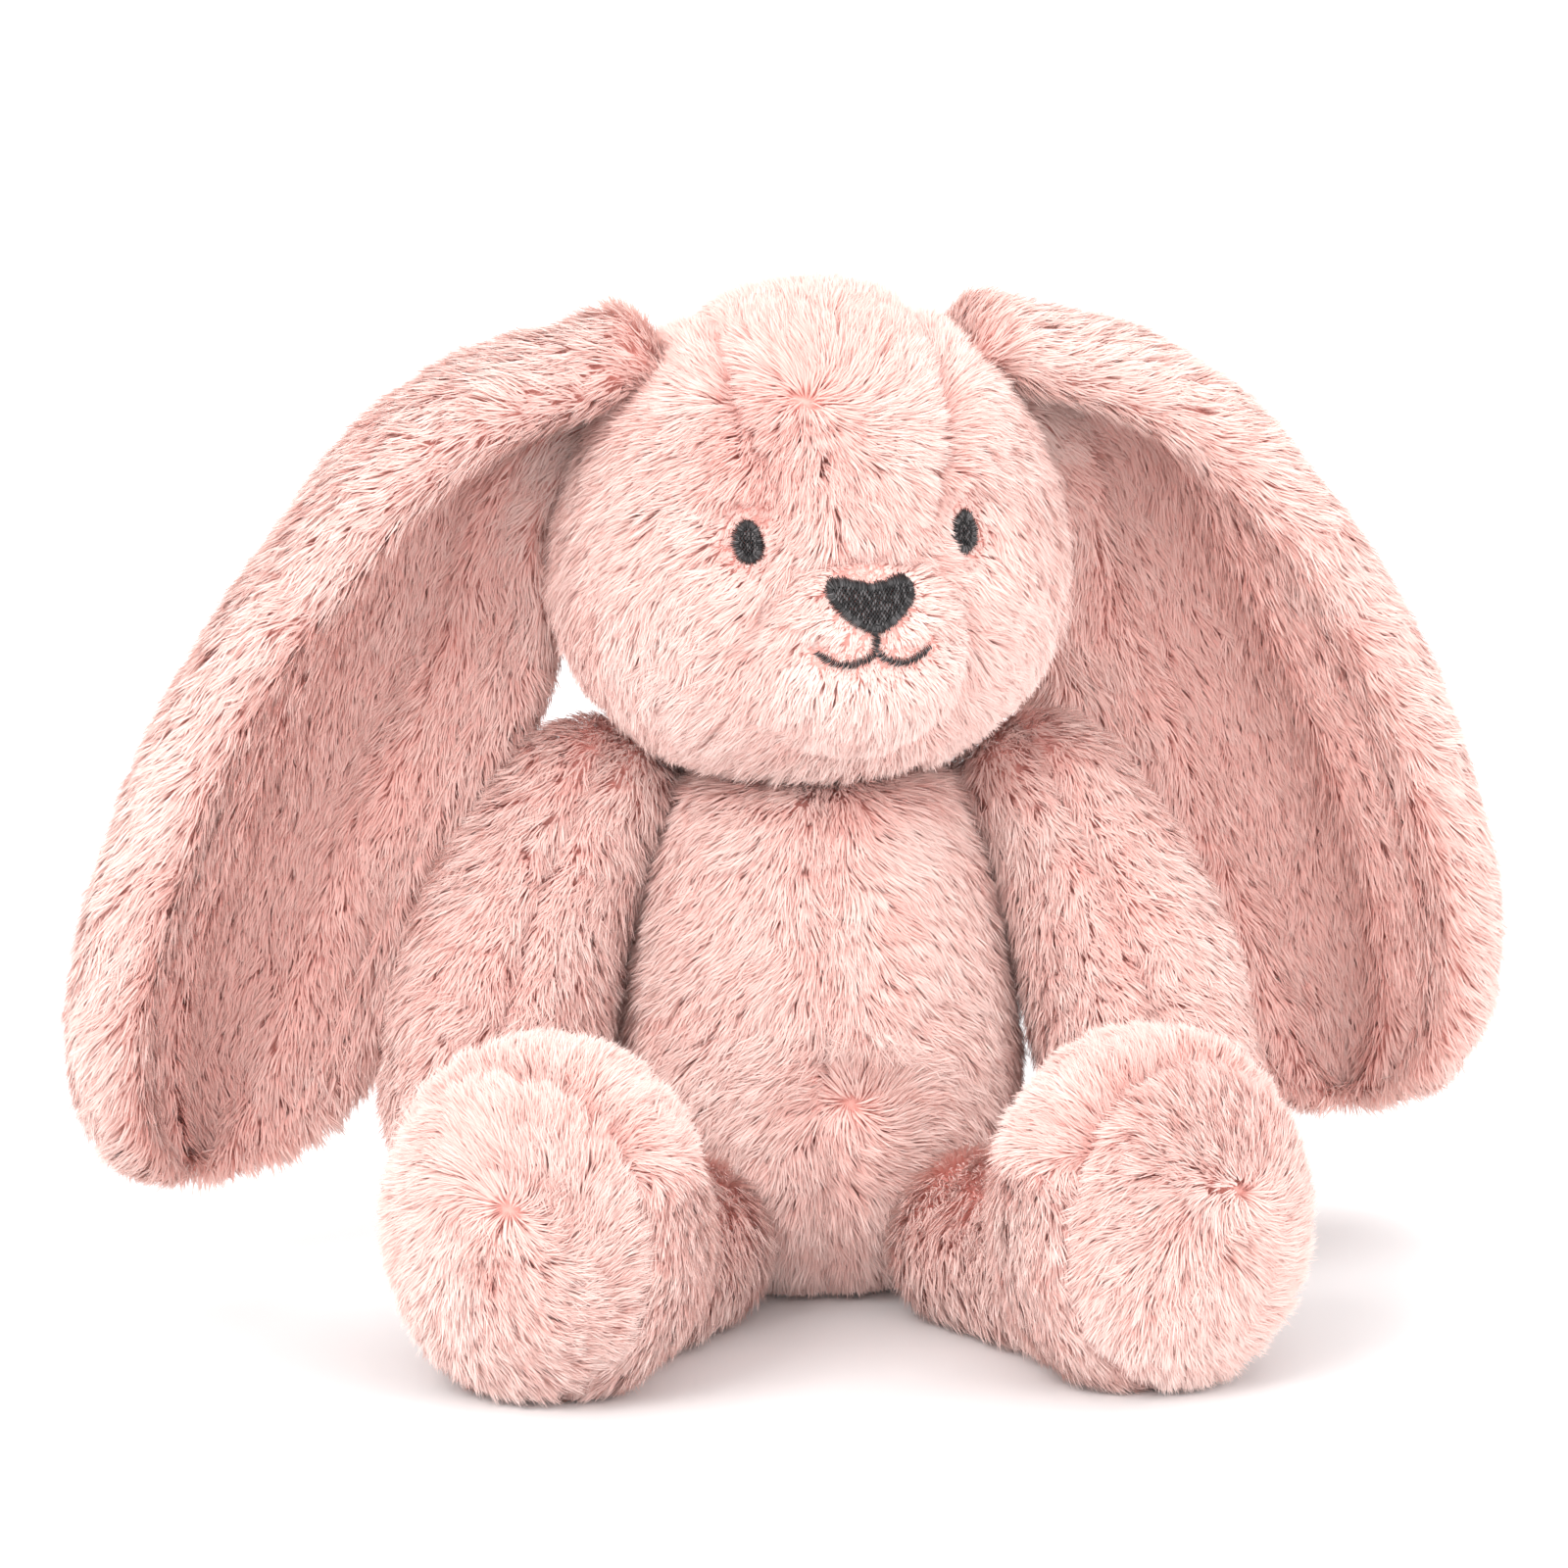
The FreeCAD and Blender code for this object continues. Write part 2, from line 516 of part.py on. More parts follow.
def ear_section(t, hand, layer):
    """One cross-section: a thick C that is open to the front, as the wadding, the back cloth or the front cloth."""
    point, ahead = ear_middle(t)
    outward = V(-ahead.z, 0, ahead.x)
    facing = math.radians(size("ear_facing"))
    across = outward * math.cos(facing) - V(0, 1, 0) * math.sin(facing)
    back = outward * math.sin(facing) + V(0, 1, 0) * math.cos(facing)
    curl = math.radians(size("ear_curl"))
    half = ear_half_width(t)
    thick = size("ear_edge") + size("ear_plump") * half
    middle = (half - thick / 2) / math.sin(curl)
    hub = point + back * (middle * (1 - math.cos(curl)) / 2 - middle)

    def at(radius, angle, shift=0.0):
        """A point of an arc about the hub, or of a rim's rounding about the arc's end."""
        spot = hub + across * (radius * math.sin(angle)) + back * (radius * math.cos(angle))
        if shift:
            end = math.copysign(curl, angle)
            spot += (across * math.cos(end) - back * math.sin(end)) * math.copysign(shift, angle)
        return V(hand * spot.x, spot.y, spot.z)

    def rim(radius, angle, bulge, start_turn, end_turn):
        """An arc of a rim's rounding, between two turns from the back (0) to the front (180)."""
        points = [
            at(middle + bulge * math.cos(math.radians(turn)), angle,
               bulge * math.sin(math.radians(turn)))
            for turn in (start_turn, (start_turn + end_turn) / 2, end_turn)
        ]
        return Part.Arc(*points).toShape()

    def arc(radius):
        return Part.Arc(at(radius, -curl), at(radius, 0), at(radius, curl)).toShape()

    if layer == "wadding":
        bulge = thick / 2 - size("ear_cloth") - size("ear_ease")
        edges = [arc(middle + bulge), rim(middle, curl, bulge, 0, 180),
                 arc(middle - bulge), rim(middle, -curl, bulge, 0, 180)]
    else:
        sign = 1 if layer == "back" else -1
        far = 0 if layer == "back" else 180
        gap = math.degrees(size("ear_ease") / thick)
        seam = 90 - sign * gap
        outer, inner = thick / 2, thick / 2 - size("ear_cloth")
        edges = [arc(middle + sign * outer), arc(middle + sign * inner)]
        for end in (curl, -curl):
            edges.append(rim(middle, end, outer, far, seam))
            edges.append(rim(middle, end, inner, far, seam))
            turn = math.radians(seam)
            edges.append(Part.makeLine(
                at(middle + outer * math.cos(turn), end, outer * math.sin(turn)),
                at(middle + inner * math.cos(turn), end, inner * math.sin(turn))))
    return Part.Wire(Part.__sortEdges__(edges))


def ear_piece(node, hand, layer):
    """A layer of an ear, lofted through its cross-sections from the root to the tip."""
    shares = [1 - (1 - n / (STATIONS - 1)) ** TIP_CROWDING for n in range(STATIONS)]
    wires = [ear_section(TIP_STATION * share, hand, layer) for share in shares]
    piece = doc.addObject("Part::Feature", node)
    piece.Shape = Part.makeLoft(wires, True, False)
    finish(piece, node, head_place)


for side_name, hand in (("left", 1), ("right", -1)):
    ear_piece(f"ear_{side_name}_back", hand, "back")
    ear_piece(f"ear_{side_name}_front", hand, "front")
    ear_piece(f"ear_{side_name}_wadding", hand, "wadding")

# ---------------------------------------------------------------- arms
def finish_pair(piece, node, placement):
    """A left piece in its place, and its mirror image in the toy's middle plane as the right one."""
    finish(piece, node.format("left"), placement)
    image = doc.addObject("Part::Mirroring", node.format("right"))
    image.Source = piece
    image.Normal = V(1, 0, 0)
    finish(image, node.format("right"))


shoulder_out = (torso_radius_at(size("arm_shoulder_level"))
                + size("arm_shoulder_radius") + size("arm_seam_gap"))
outward, forward = math.radians(size("arm_outward")), math.radians(size("arm_forward"))
up_arm = V(-math.sin(outward), math.sin(forward), 0)
up_arm.z = math.sqrt(1 - up_arm.x**2 - up_arm.y**2)
arm_place = FreeCAD.Placement(
    V(shoulder_out, 0, size("arm_shoulder_level")),
    FreeCAD.Rotation(V(1, 0, 0), V(0, 0, 0), up_arm, "ZXY"))
outer_side = FreeCAD.Placement(V(), FreeCAD.Rotation(V(0, 0, 1), -90))
inner_side = FreeCAD.Placement(V(), FreeCAD.Rotation(V(0, 0, 1), 90))
arm_sizes = ("arm_shoulder_radius", "arm_paw_radius", "arm_length")
for node, side_turn in (("arm_{}_outer", outer_side), ("arm_{}_inner", inner_side)):
    half = capsule(node.format("left"), *arm_sizes, wall="skin", sweep=180)
    finish_pair(half, node, arm_place * side_turn)
arm_fill = capsule("arm_left_stuffing", *arm_sizes, taken_off=("skin", "clearance"))
finish_pair(arm_fill, "arm_{}_stuffing", arm_place)

# ---------------------------------------------------------------- legs
# The foot stands on the floor and its sole turns back a little from the leg's splay.
foot_place = FreeCAD.Placement(
    V(0, -size("leg_length"), size("foot_half_height") - size("leg_hip_radius")),
    FreeCAD.Rotation(V(0, 0, 1), size("foot_turn") - size("leg_splay")))


def leg_outline(name, *taken_off):
    """The left leg and its foot, as two closed forms about the hip, the leg along -Y."""
    leg = capsule(f"{name}_leg", "leg_hip_radius", "leg_ankle_radius", "leg_length", taken_off)
    rise = size("leg_ankle_radius") - size("leg_hip_radius")
    lean = math.degrees(math.asin(rise / size("leg_length")))
    leg.Placement = FreeCAD.Placement(V(), FreeCAD.Rotation(V(1, 0, 0), -90 - lean))
    foot = doc.addObject("Part::Ellipsoid", f"{name}_foot")
    foot.setExpression("Radius1", f"Sizes.foot_half_width{less(*taken_off)}")
    foot.setExpression("Radius2", f"Sizes.foot_half_height{less(*taken_off)}")
    foot.setExpression("Radius3", f"Sizes.foot_half_depth{less(*taken_off)}")
    foot.Placement = foot_place * FreeCAD.Placement(V(), FreeCAD.Rotation(V(0, 1, 0), 90))
    return leg, foot


def ball_clear_of_torso(level, radius, steps=200):
    """How far from the torso's axis a ball at a level only touches it, over the heights that both reach."""
    offsets = [radius * (2 * number / steps - 1) for number in range(steps + 1)]
    return max(torso_radius_at(level + offset) + math.sqrt(radius**2 - offset**2) for offset in offsets)


hip_level = size("leg_hip_radius")
hip_out = ball_clear_of_torso(hip_level, size("leg_hip_radius")) + size("leg_seam_gap")
hip_angle = math.radians(size("hip_angle"))
leg_place = FreeCAD.Placement(
    V(hip_out * math.sin(hip_angle), -hip_out * math.cos(hip_angle), hip_level),
    FreeCAD.Rotation(V(0, 0, 1), size("leg_splay")))
leg_inside, foot_inside = leg_outline("leg_inside", "skin")
leg_outside = joined("leg_outside_whole", *leg_outline("leg_outside"))
leg_wall = cut("leg_wall", cut("leg_wall_around_foot", leg_outside, leg_inside), foot_inside)
before_sole = doc.addObject("Part::Box", "before_sole")
before_sole.Length = 2 * REACH
before_sole.Height = 2 * REACH
before_sole.setExpression("Width", f"{REACH} - Sizes.sole_plane")
before_sole.Placement = foot_place * FreeCAD.Placement(V(-REACH, -REACH, -REACH), FreeCAD.Rotation())
finish_pair(common("sole", leg_wall, before_sole), "foot_{}_sole", leg_place)
leg_upper = cut("leg_upper", leg_wall, before_sole)
seam = "-Sizes.leg_seam"
for node, low, high in (("leg_{}_outer", seam, REACH), ("leg_{}_inner", -REACH, seam)):
    half = block(node.format("seam"), (low, -REACH, -REACH), (high, REACH, REACH))
    finish_pair(common(node.format("half"), leg_upper, half), node, leg_place)
leg_fill = joined("leg_fill_whole", *leg_outline("leg_fill", "skin", "clearance"))
finish_pair(leg_fill, "leg_{}_stuffing", leg_place)

# ---------------------------------------------------------------- check and write
doc.recompute()
failed = [o.Name for o in doc.Objects if {"Invalid", "Error"} & set(o.State)]
if failed:
    raise RuntimeError(f"these objects did not recompute: {failed}")
os.makedirs("parts", exist_ok=True)
for piece in finished:
    shape = piece.Shape
    if shape.isNull() or not shape.isValid() or not shape.Solids:
        raise RuntimeError(f"{piece.Label} is not a valid solid")
    shape.exportStep(f"parts/{piece.Label}.step")
    print(f"{piece.Label}: {len(shape.Solids)} solid(s), {shape.Volume / 1000:.2f} cm3")
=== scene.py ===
import json
import math

import bpy
import numpy as np
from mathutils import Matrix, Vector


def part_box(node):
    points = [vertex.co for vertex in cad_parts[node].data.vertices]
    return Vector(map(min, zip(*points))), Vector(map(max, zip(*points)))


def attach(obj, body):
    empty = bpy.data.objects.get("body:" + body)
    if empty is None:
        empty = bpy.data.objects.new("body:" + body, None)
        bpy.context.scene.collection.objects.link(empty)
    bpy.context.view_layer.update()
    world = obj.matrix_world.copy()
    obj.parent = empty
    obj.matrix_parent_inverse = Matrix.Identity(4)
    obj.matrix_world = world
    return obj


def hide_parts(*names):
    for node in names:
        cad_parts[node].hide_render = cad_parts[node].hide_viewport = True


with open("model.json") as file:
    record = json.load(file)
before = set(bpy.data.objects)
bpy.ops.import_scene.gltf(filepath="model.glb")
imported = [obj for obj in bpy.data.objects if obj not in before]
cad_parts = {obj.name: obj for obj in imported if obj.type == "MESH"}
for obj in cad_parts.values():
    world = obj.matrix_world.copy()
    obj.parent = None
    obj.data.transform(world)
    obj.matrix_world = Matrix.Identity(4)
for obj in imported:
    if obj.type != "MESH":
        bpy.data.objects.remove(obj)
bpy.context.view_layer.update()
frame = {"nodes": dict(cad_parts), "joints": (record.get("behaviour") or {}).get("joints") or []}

joints = {joint["name"]: joint for joint in frame["joints"]}


# ---------------------------------------------------------------- room
# A plain white table-top that runs out to the background, lit by one wide soft window on the toy's right
# and a weaker one on its left. The camera is a long lens a little above the toy and to its right.
WORKTOP = (0.90, 0.90, 0.905, 1.0)
DAYLIGHT = (1.0, 0.985, 0.975)
LENS_AZIMUTH, LENS_HEIGHT = math.radians(-4), math.radians(12)
LENS_DISTANCE, FRAME_WIDTH = 2.5, 0.392
AIM_ASIDE, AIM_UP, AIM_LEVEL = -0.0078, 0.1213, 0.12
FLOOR_REACH, SKY_STRENGTH = 40, 1.2


def matte(name, colour, roughness):
    """A plain material, its constants on the shader's own sockets, and its Principled node."""
    material = bpy.data.materials.new(name)
    material.use_nodes = True
    shader = material.node_tree.nodes["Principled BSDF"]
    shader.inputs["Base Color"].default_value = colour
    shader.inputs["Roughness"].default_value = roughness
    return material, shader


def grid_mesh(name, points):
    """A sheet of quads over an array of points (rows, columns, 3)."""
    rows, columns = points.shape[:2]
    index = np.arange(rows * columns).reshape(rows, columns)
    right, left = index[:, 1:], index[:, :-1]
    faces = np.stack([left[:-1], right[:-1], right[1:], left[1:]], axis=-1).reshape(-1, 4)
    return new_piece(name, points.reshape(-1, 3), faces)


def new_piece(name, points, faces):
    """An object at the origin whose mesh has these points and faces (triangles or quads), as whole arrays."""
    mesh = bpy.data.meshes.new(name)
    mesh.vertices.add(len(points))
    mesh.vertices.foreach_set("co", np.asarray(points, dtype=np.float32).ravel())
    sides = faces.shape[1]
    mesh.loops.add(faces.size)
    mesh.loops.foreach_set("vertex_index", faces.astype(np.int32).ravel())
    mesh.polygons.add(len(faces))
    mesh.polygons.foreach_set("loop_start", np.arange(0, faces.size, sides, dtype=np.int32))
    mesh.update(calc_edges=True)
    mesh.polygons.foreach_set("use_smooth", np.full(len(faces), True))
    piece = bpy.data.objects.new(name, mesh)
    bpy.context.scene.collection.objects.link(piece)
    return piece


def worktop():
    """The floor: a level grid at z = 0, wide enough to fill the view from every side."""
    across, back = np.meshgrid(*[np.linspace(-FLOOR_REACH, FLOOR_REACH, 41)] * 2)
    floor = grid_mesh("worktop", np.stack([across, back, 0 * across], axis=-1))
    floor.data.materials.append(matte("worktop", WORKTOP, 0.6)[0])


worktop()

right_of_lens = np.array([math.cos(LENS_AZIMUTH), math.sin(LENS_AZIMUTH), 0.0])
towards_lens = np.array([math.sin(LENS_AZIMUTH) * math.cos(LENS_HEIGHT),
                         -math.cos(LENS_AZIMUTH) * math.cos(LENS_HEIGHT), math.sin(LENS_HEIGHT)])
up_of_lens = np.cross(towards_lens, right_of_lens)
lens_place = (right_of_lens * AIM_ASIDE + up_of_lens * AIM_UP
              + towards_lens * (LENS_DISTANCE + AIM_LEVEL * math.sin(LENS_HEIGHT)))
camera = bpy.data.objects.new("camera", bpy.data.cameras.new("camera"))
camera.data.sensor_width = 36
camera.data.lens = 36 * LENS_DISTANCE / FRAME_WIDTH
camera.location = lens_place
camera.rotation_euler = (math.pi / 2 - LENS_HEIGHT, 0, LENS_AZIMUTH)
bpy.context.scene.collection.objects.link(camera)
bpy.context.scene.camera = camera

for name, place, target, width, power in (
        ("window", (-1.3, -1.5, 1.7), (0, 0, 0.12), 1.3, 33),
        ("bounce", (1.6, -1.4, 0.9), (0, 0, 0.12), 1.5, 14),
        ("rim", (0.4, 1.6, 1.6), (0, 0, 0.2), 1.2, 16)):
    lamp = bpy.data.lights.new(name, "AREA")
    lamp.size = width
    lamp.energy = power
    lamp.color = DAYLIGHT
    fixture = bpy.data.objects.new(name, lamp)
    fixture.location = place
    away = np.array(place) - np.array(target)
    fixture.rotation_euler = (math.atan2(math.hypot(away[0], away[1]), away[2]), 0,
                              math.atan2(away[0], -away[1]))
    bpy.context.scene.collection.objects.link(fixture)
sky = bpy.data.worlds.new("sky")
sky.use_nodes = True
sky.node_tree.nodes["Background"].inputs["Color"].default_value = (1.0, 1.0, 1.0, 1.0)
sky.node_tree.nodes["Background"].inputs["Strength"].default_value = SKY_STRENGTH
bpy.context.scene.world = sky
bpy.context.scene.view_settings.view_transform = "Standard"


# ---------------------------------------------------------------- plush cloth
# Knitted polyester with a pile about 9 mm long, dyed salmon pink. The tips are paler than the roots, and the
# pile lies over in one direction, in small locks that part where the cloth is seamed or creased.
ROOT_PINK, DEEP_PINK = (0.90, 0.44, 0.385), (0.94, 0.50, 0.445)
TIP_PINK, PALE_PINK = (0.965, 0.675, 0.615), (0.98, 0.785, 0.735)
PILE_LENGTH, BLADE_WIDTH = 0.0088, 0.00052
LOCK_CELL, TUFT_CELL = 0.0025, 0.012
TUFT_TURN, LOCK_TURN, BLADE_TURN = 0.8, 0.65, 0.5
ROOT_STEEP, TIP_STEEP, LOW_SHARE, HIGH_SHARE = 0.86, 0.36, 0.42, 0.58
MIDDLE_PULL, TIP_PULL, FLOOR_CLEAR = 0.2, 0.48, 0.0004


def colour_of(node_tree, stops, factor):
    """A colour ramp through the stops (place, colour), driven by a socket; returns its colour socket."""
    ramp = node_tree.nodes.new("ShaderNodeValToRGB")
    while len(ramp.color_ramp.elements) < len(stops):
        ramp.color_ramp.elements.new(0.5)
    for element, (place, colour) in zip(ramp.color_ramp.elements, stops):
        element.position = place
        element.color = (*colour, 1.0)
    node_tree.links.new(factor, ramp.inputs["Fac"])
    return ramp.outputs["Color"]


def mixed(node_tree, share, first, second):
    """The first colour where the share is 0, the second where it is 1; returns the mixed colour's socket."""
    mix = node_tree.nodes.new("ShaderNodeMix")
    mix.data_type = "RGBA"
    node_tree.links.new(share, mix.inputs[0])
    node_tree.links.new(first, mix.inputs[6])
    node_tree.links.new(second, mix.inputs[7])
    return mix.outputs[2]


def pile_material():
    """Colour along each blade by its map's v, root to tip, and from deep to pale by u, with a soft sheen."""
    material, shader = matte("pink_pile", (*TIP_PINK, 1.0), 0.78)
    tree = material.node_tree
    shader.inputs["Sheen Weight"].default_value = 0.25
    shader.inputs["Sheen Roughness"].default_value = 0.45
    shader.inputs["Specular IOR Level"].default_value = 0.25
    lock = tree.nodes.new("ShaderNodeUVMap")
    lock.uv_map = "pile"
    split = tree.nodes.new("ShaderNodeSeparateXYZ")
    tree.links.new(lock.outputs["UV"], split.inputs["Vector"])
    deep = colour_of(tree, ((0.0, ROOT_PINK), (0.45, DEEP_PINK), (1.0, TIP_PINK)), split.outputs["Y"])
    pale = colour_of(tree, ((0.0, ROOT_PINK), (0.40, TIP_PINK), (0.9, PALE_PINK)), split.outputs["Y"])
    tree.links.new(mixed(tree, split.outputs["X"], deep, pale), shader.inputs["Base Color"])
    return material


def raised(node_tree, shader, height, depth, strength=1.0):
    """A bump of this depth in metres, from a socket that varies over the surface, on the shader's normal."""
    bump = node_tree.nodes.new("ShaderNodeBump")
    bump.inputs["Strength"].default_value = strength
    bump.inputs["Distance"].default_value = depth
    node_tree.links.new(height, bump.inputs["Height"])
    node_tree.links.new(bump.outputs["Normal"], shader.inputs["Normal"])


def backing_material():
    """The cloth under the pile: near the roots' colour, mottled by a fine noise, with a knitted bump."""
    material, shader = matte("pink_backing", (*ROOT_PINK, 1.0), 0.9)
    tree = material.node_tree
    place = tree.nodes.new("ShaderNodeTexCoord")
    noise = tree.nodes.new("ShaderNodeTexNoise")
    noise.inputs["Scale"].default_value = 420
    tree.links.new(place.outputs["Object"], noise.inputs["Vector"])
    colour = colour_of(tree, ((0.3, ROOT_PINK), (0.7, DEEP_PINK)), noise.outputs["Fac"])
    tree.links.new(colour, shader.inputs["Base Color"])
    raised(tree, shader, noise.outputs["Fac"], 0.0004, 0.4)
    return material


PILE, BACKING = pile_material(), backing_material()


def scatter_hash(cell, salt):
    """Three even random numbers for each whole-number cell: the fraction of a large sine of its indices."""
    mix = cell @ np.array([[127.1, 269.5, 419.2], [311.7, 183.3, 371.9], [74.7, 246.1, 168.2]]) + salt
    return np.modf(np.abs(np.sin(mix) * 43758.5453))[0]


def nearest_lock(points, pitch, salt):
    """For each point the nearest of a jittered lattice of centres, and that centre's three random numbers."""
    base = np.floor(points / pitch)
    steps = np.stack(np.meshgrid(*[[-1, 0, 1]] * 3, indexing="ij"), axis=-1).reshape(-1, 3)
    best = np.full(len(points), np.inf)
    centre, chance = np.zeros_like(points), np.zeros_like(points)
    for step in steps:
        cell = base + step
        random = scatter_hash(cell, salt)
        spot = (cell + random) * pitch
        distance = ((points - spot) ** 2).sum(axis=1)
        nearer = distance < best
        best[nearer] = distance[nearer]
        centre[nearer] = spot[nearer]
        chance[nearer] = scatter_hash(cell[nearer], salt + 9.7)
    return centre, chance


def unit(vectors):
    """Each vector divided by its own length."""
    return vectors / np.maximum(np.linalg.norm(vectors, axis=-1, keepdims=True), 1e-9)


def along_surface(vectors, normals):
    """The part of each vector that lies in the surface, as a unit vector."""
    return unit(vectors - normals * (vectors * normals).sum(axis=1, keepdims=True))


def skin_roots(skin, count, rng, where):
    """Points spread evenly over a skin's triangles, chosen by area, with their normals, where a test holds.

    Within a triangle two even random numbers weight its corners, folded back where they pass 1 together.
    """
    mesh = skin.data
    mesh.calc_loop_triangles()
    corners = np.empty(len(mesh.loop_triangles) * 3, dtype=np.int32)
    mesh.loop_triangles.foreach_get("vertices", corners)
    corners = corners.reshape(-1, 3)
    spots = np.empty(len(mesh.vertices) * 3)
    mesh.vertices.foreach_get("co", spots)
    normals = np.empty(len(mesh.vertices) * 3)
    mesh.vertices.foreach_get("normal", normals)
    spots, normals = spots.reshape(-1, 3), normals.reshape(-1, 3)
    a, b, c = (spots[corners[:, k]] for k in range(3))
    area = np.linalg.norm(np.cross(b - a, c - a), axis=1) * where((a + b + c) / 3)
    chosen = rng.choice(len(area), size=count, p=area / area.sum())
    first, second = rng.random(count), rng.random(count)
    folded = first + second > 1
    first[folded], second[folded] = 1 - first[folded], 1 - second[folded]
    weights = np.stack([1 - first - second, first, second], axis=1)[:, :, None]
    return ((spots[corners[chosen]] * weights).sum(axis=1),
            unit((normals[corners[chosen]] * weights).sum(axis=1)))


def everywhere(point):
    """A field that is 1 at every point."""
    return np.ones(len(point))


def pile(name, skin, body, blades, comb, seed, where=everywhere, height=None, tint=None, wildness=1.0):
    """Pile on a skin: each blade is two triangles, a kite that is bent across its wide middle.

    From its root it rises at a steep angle and then lies down along the comb; locks pull their tips together,
    and tufts turn the comb a little, so that the pile parts and swirls. Comb, height and tint are fields of
    position.
    """
    rng = np.random.default_rng(seed)
    root, normal = skin_roots(skin, blades, rng, where)
    lock, lock_chance = nearest_lock(root, LOCK_CELL, seed)
    tuft_chance = nearest_lock(root, TUFT_CELL, seed + 5)[1]
    flow = along_surface(comb(root), normal)
    side = np.cross(normal, flow)
    turn = wildness * (TUFT_TURN * (tuft_chance[:, 0] - 0.5) + LOCK_TURN * (lock_chance[:, 0] - 0.5)
                       + BLADE_TURN * (rng.random(blades) - 0.5))
    flow = flow * np.cos(turn)[:, None] + side * np.sin(turn)[:, None]
    length = PILE_LENGTH * (0.74 + 0.3 * rng.random(blades) + 0.22 * lock_chance[:, 1])
    if height is not None:
        length = length * height(root)
    steep = ROOT_STEEP + 0.35 * (rng.random(blades) - 0.5) + 0.3 * (tuft_chance[:, 1] - 0.5)
    flat = TIP_STEEP + 0.3 * (rng.random(blades) - 0.5) + 0.35 * (lock_chance[:, 2] - 0.5)
    rise_low = flow * np.cos(steep)[:, None] + normal * np.sin(steep)[:, None]
    rise_high = flow * np.cos(flat)[:, None] + normal * np.sin(flat)[:, None]
    pull = lock - root
    pull = pull - normal * (pull * normal).sum(axis=1, keepdims=True)
    bend = root + rise_low * (LOW_SHARE * length)[:, None]
    middle = bend + pull * MIDDLE_PULL
    tip = bend + rise_high * (HIGH_SHARE * length)[:, None] + pull * TIP_PULL
    half = 0.5 * BLADE_WIDTH * (0.7 + 0.6 * rng.random(blades))[:, None]
    spin = 1.1 * (rng.random(blades) - 0.5)
    width = unit(side * np.cos(spin)[:, None] + normal * np.sin(spin)[:, None])
    points = np.stack([root, middle - width * half, middle + width * half, tip], axis=1)
    points[..., 2] = np.maximum(points[..., 2], FLOOR_CLEAR)
    first = np.arange(blades)[:, None] * 4
    faces = np.concatenate([first + [0, 1, 2], first + [1, 3, 2]], axis=1).reshape(-1, 3)
    piece = new_piece(name, points.reshape(-1, 3), faces)
    shade = (0.5 + 0.5 * (lock_chance[:, 1] - 0.5) + 0.35 * (tuft_chance[:, 2] - 0.5)
             + 0.3 * (rng.random(blades) - 0.5))
    # The tint fields add painted shade in seams and hollows, and painted light near the ears' roots.
    if tint is not None:
        shade = shade + tint(root)
    shade = np.clip(shade, 0.02, 0.98)
    along = np.array([0.03, 0.5, 0.5, 0.97])[np.tile([0, 1, 2, 1, 3, 2], blades)]
    places = np.stack([np.repeat(shade, 6), along], axis=1).astype(np.float32)
    for map_name in ("pile", "OFBake"):
        piece.data.uv_layers.new(name=map_name).data.foreach_set("uv", places.ravel())
    piece.data.materials.append(PILE)
    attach(piece, body)
    return piece


def closed_skin(name, rows, body, nodes):
    """A stuffed skin: rows of points from one end to the other, each a closed ring, with both ends closed."""
    count = rows.shape[1]
    ends = np.stack([rows[0].mean(axis=0), rows[-1].mean(axis=0)])
    points = np.concatenate([rows.reshape(-1, 3), ends])
    index = np.arange(rows.shape[0] * count).reshape(rows.shape[0], count)
    after = np.roll(index, -1, axis=1)
    quads = np.stack([index[:-1], index[1:], after[1:], after[:-1]], axis=-1).reshape(-1, 4)
    start, stop = len(points) - 2, len(points) - 1
    caps = np.concatenate([np.stack([np.full(count, start), index[0], after[0]], axis=1),
                           np.stack([np.full(count, stop), after[-1], index[-1]], axis=1)])
    split = np.concatenate([quads[:, [0, 1, 2]], quads[:, [0, 2, 3]], caps])
    corners = points[split]
    volume = np.einsum("ij,ij->i", corners[:, 0], np.cross(corners[:, 1], corners[:, 2])).sum()
    if volume < 0:
        split = split[:, ::-1]
    skin = new_piece(name, points, split)
    skin.data.materials.append(BACKING)
    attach(skin, body)
    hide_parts(*nodes)
    return skin


def groove(distance, width, depth):
    """How far a seam pulls the cloth in: a bell of the distance from it."""
    return depth * np.exp(-(distance / width) ** 2)


def ease(value):
    """0 below 0, 1 above 1, and a smooth step between."""
    value = np.clip(value, 0, 1)
    return value * value * (3 - 2 * value)


# ---------------------------------------------------------------- torso
# Two front and two back panels of plush, sewn together up the belly, the sides and the back, on a flat round
# seat. Polyester fibre fills it around a cotton pouch of pellets, and the neck is drawn shut with a thread.
TORSO_WIDEST, TORSO_RADIUS, TORSO_BELOW, TORSO_ABOVE, TORSO_TOP = 0.044, 0.0480, 0.056, 0.109, 0.1360
NAVEL_ACROSS, NAVEL_UP = 0.003, 0.049
BELLY_BLADES, BACK_BLADES = 92000, 46000
torso_nodes = [node for node in frame["nodes"]
               if node.startswith("torso_") or node in ("seat_panel", "pellet_pouch", "pellets")]


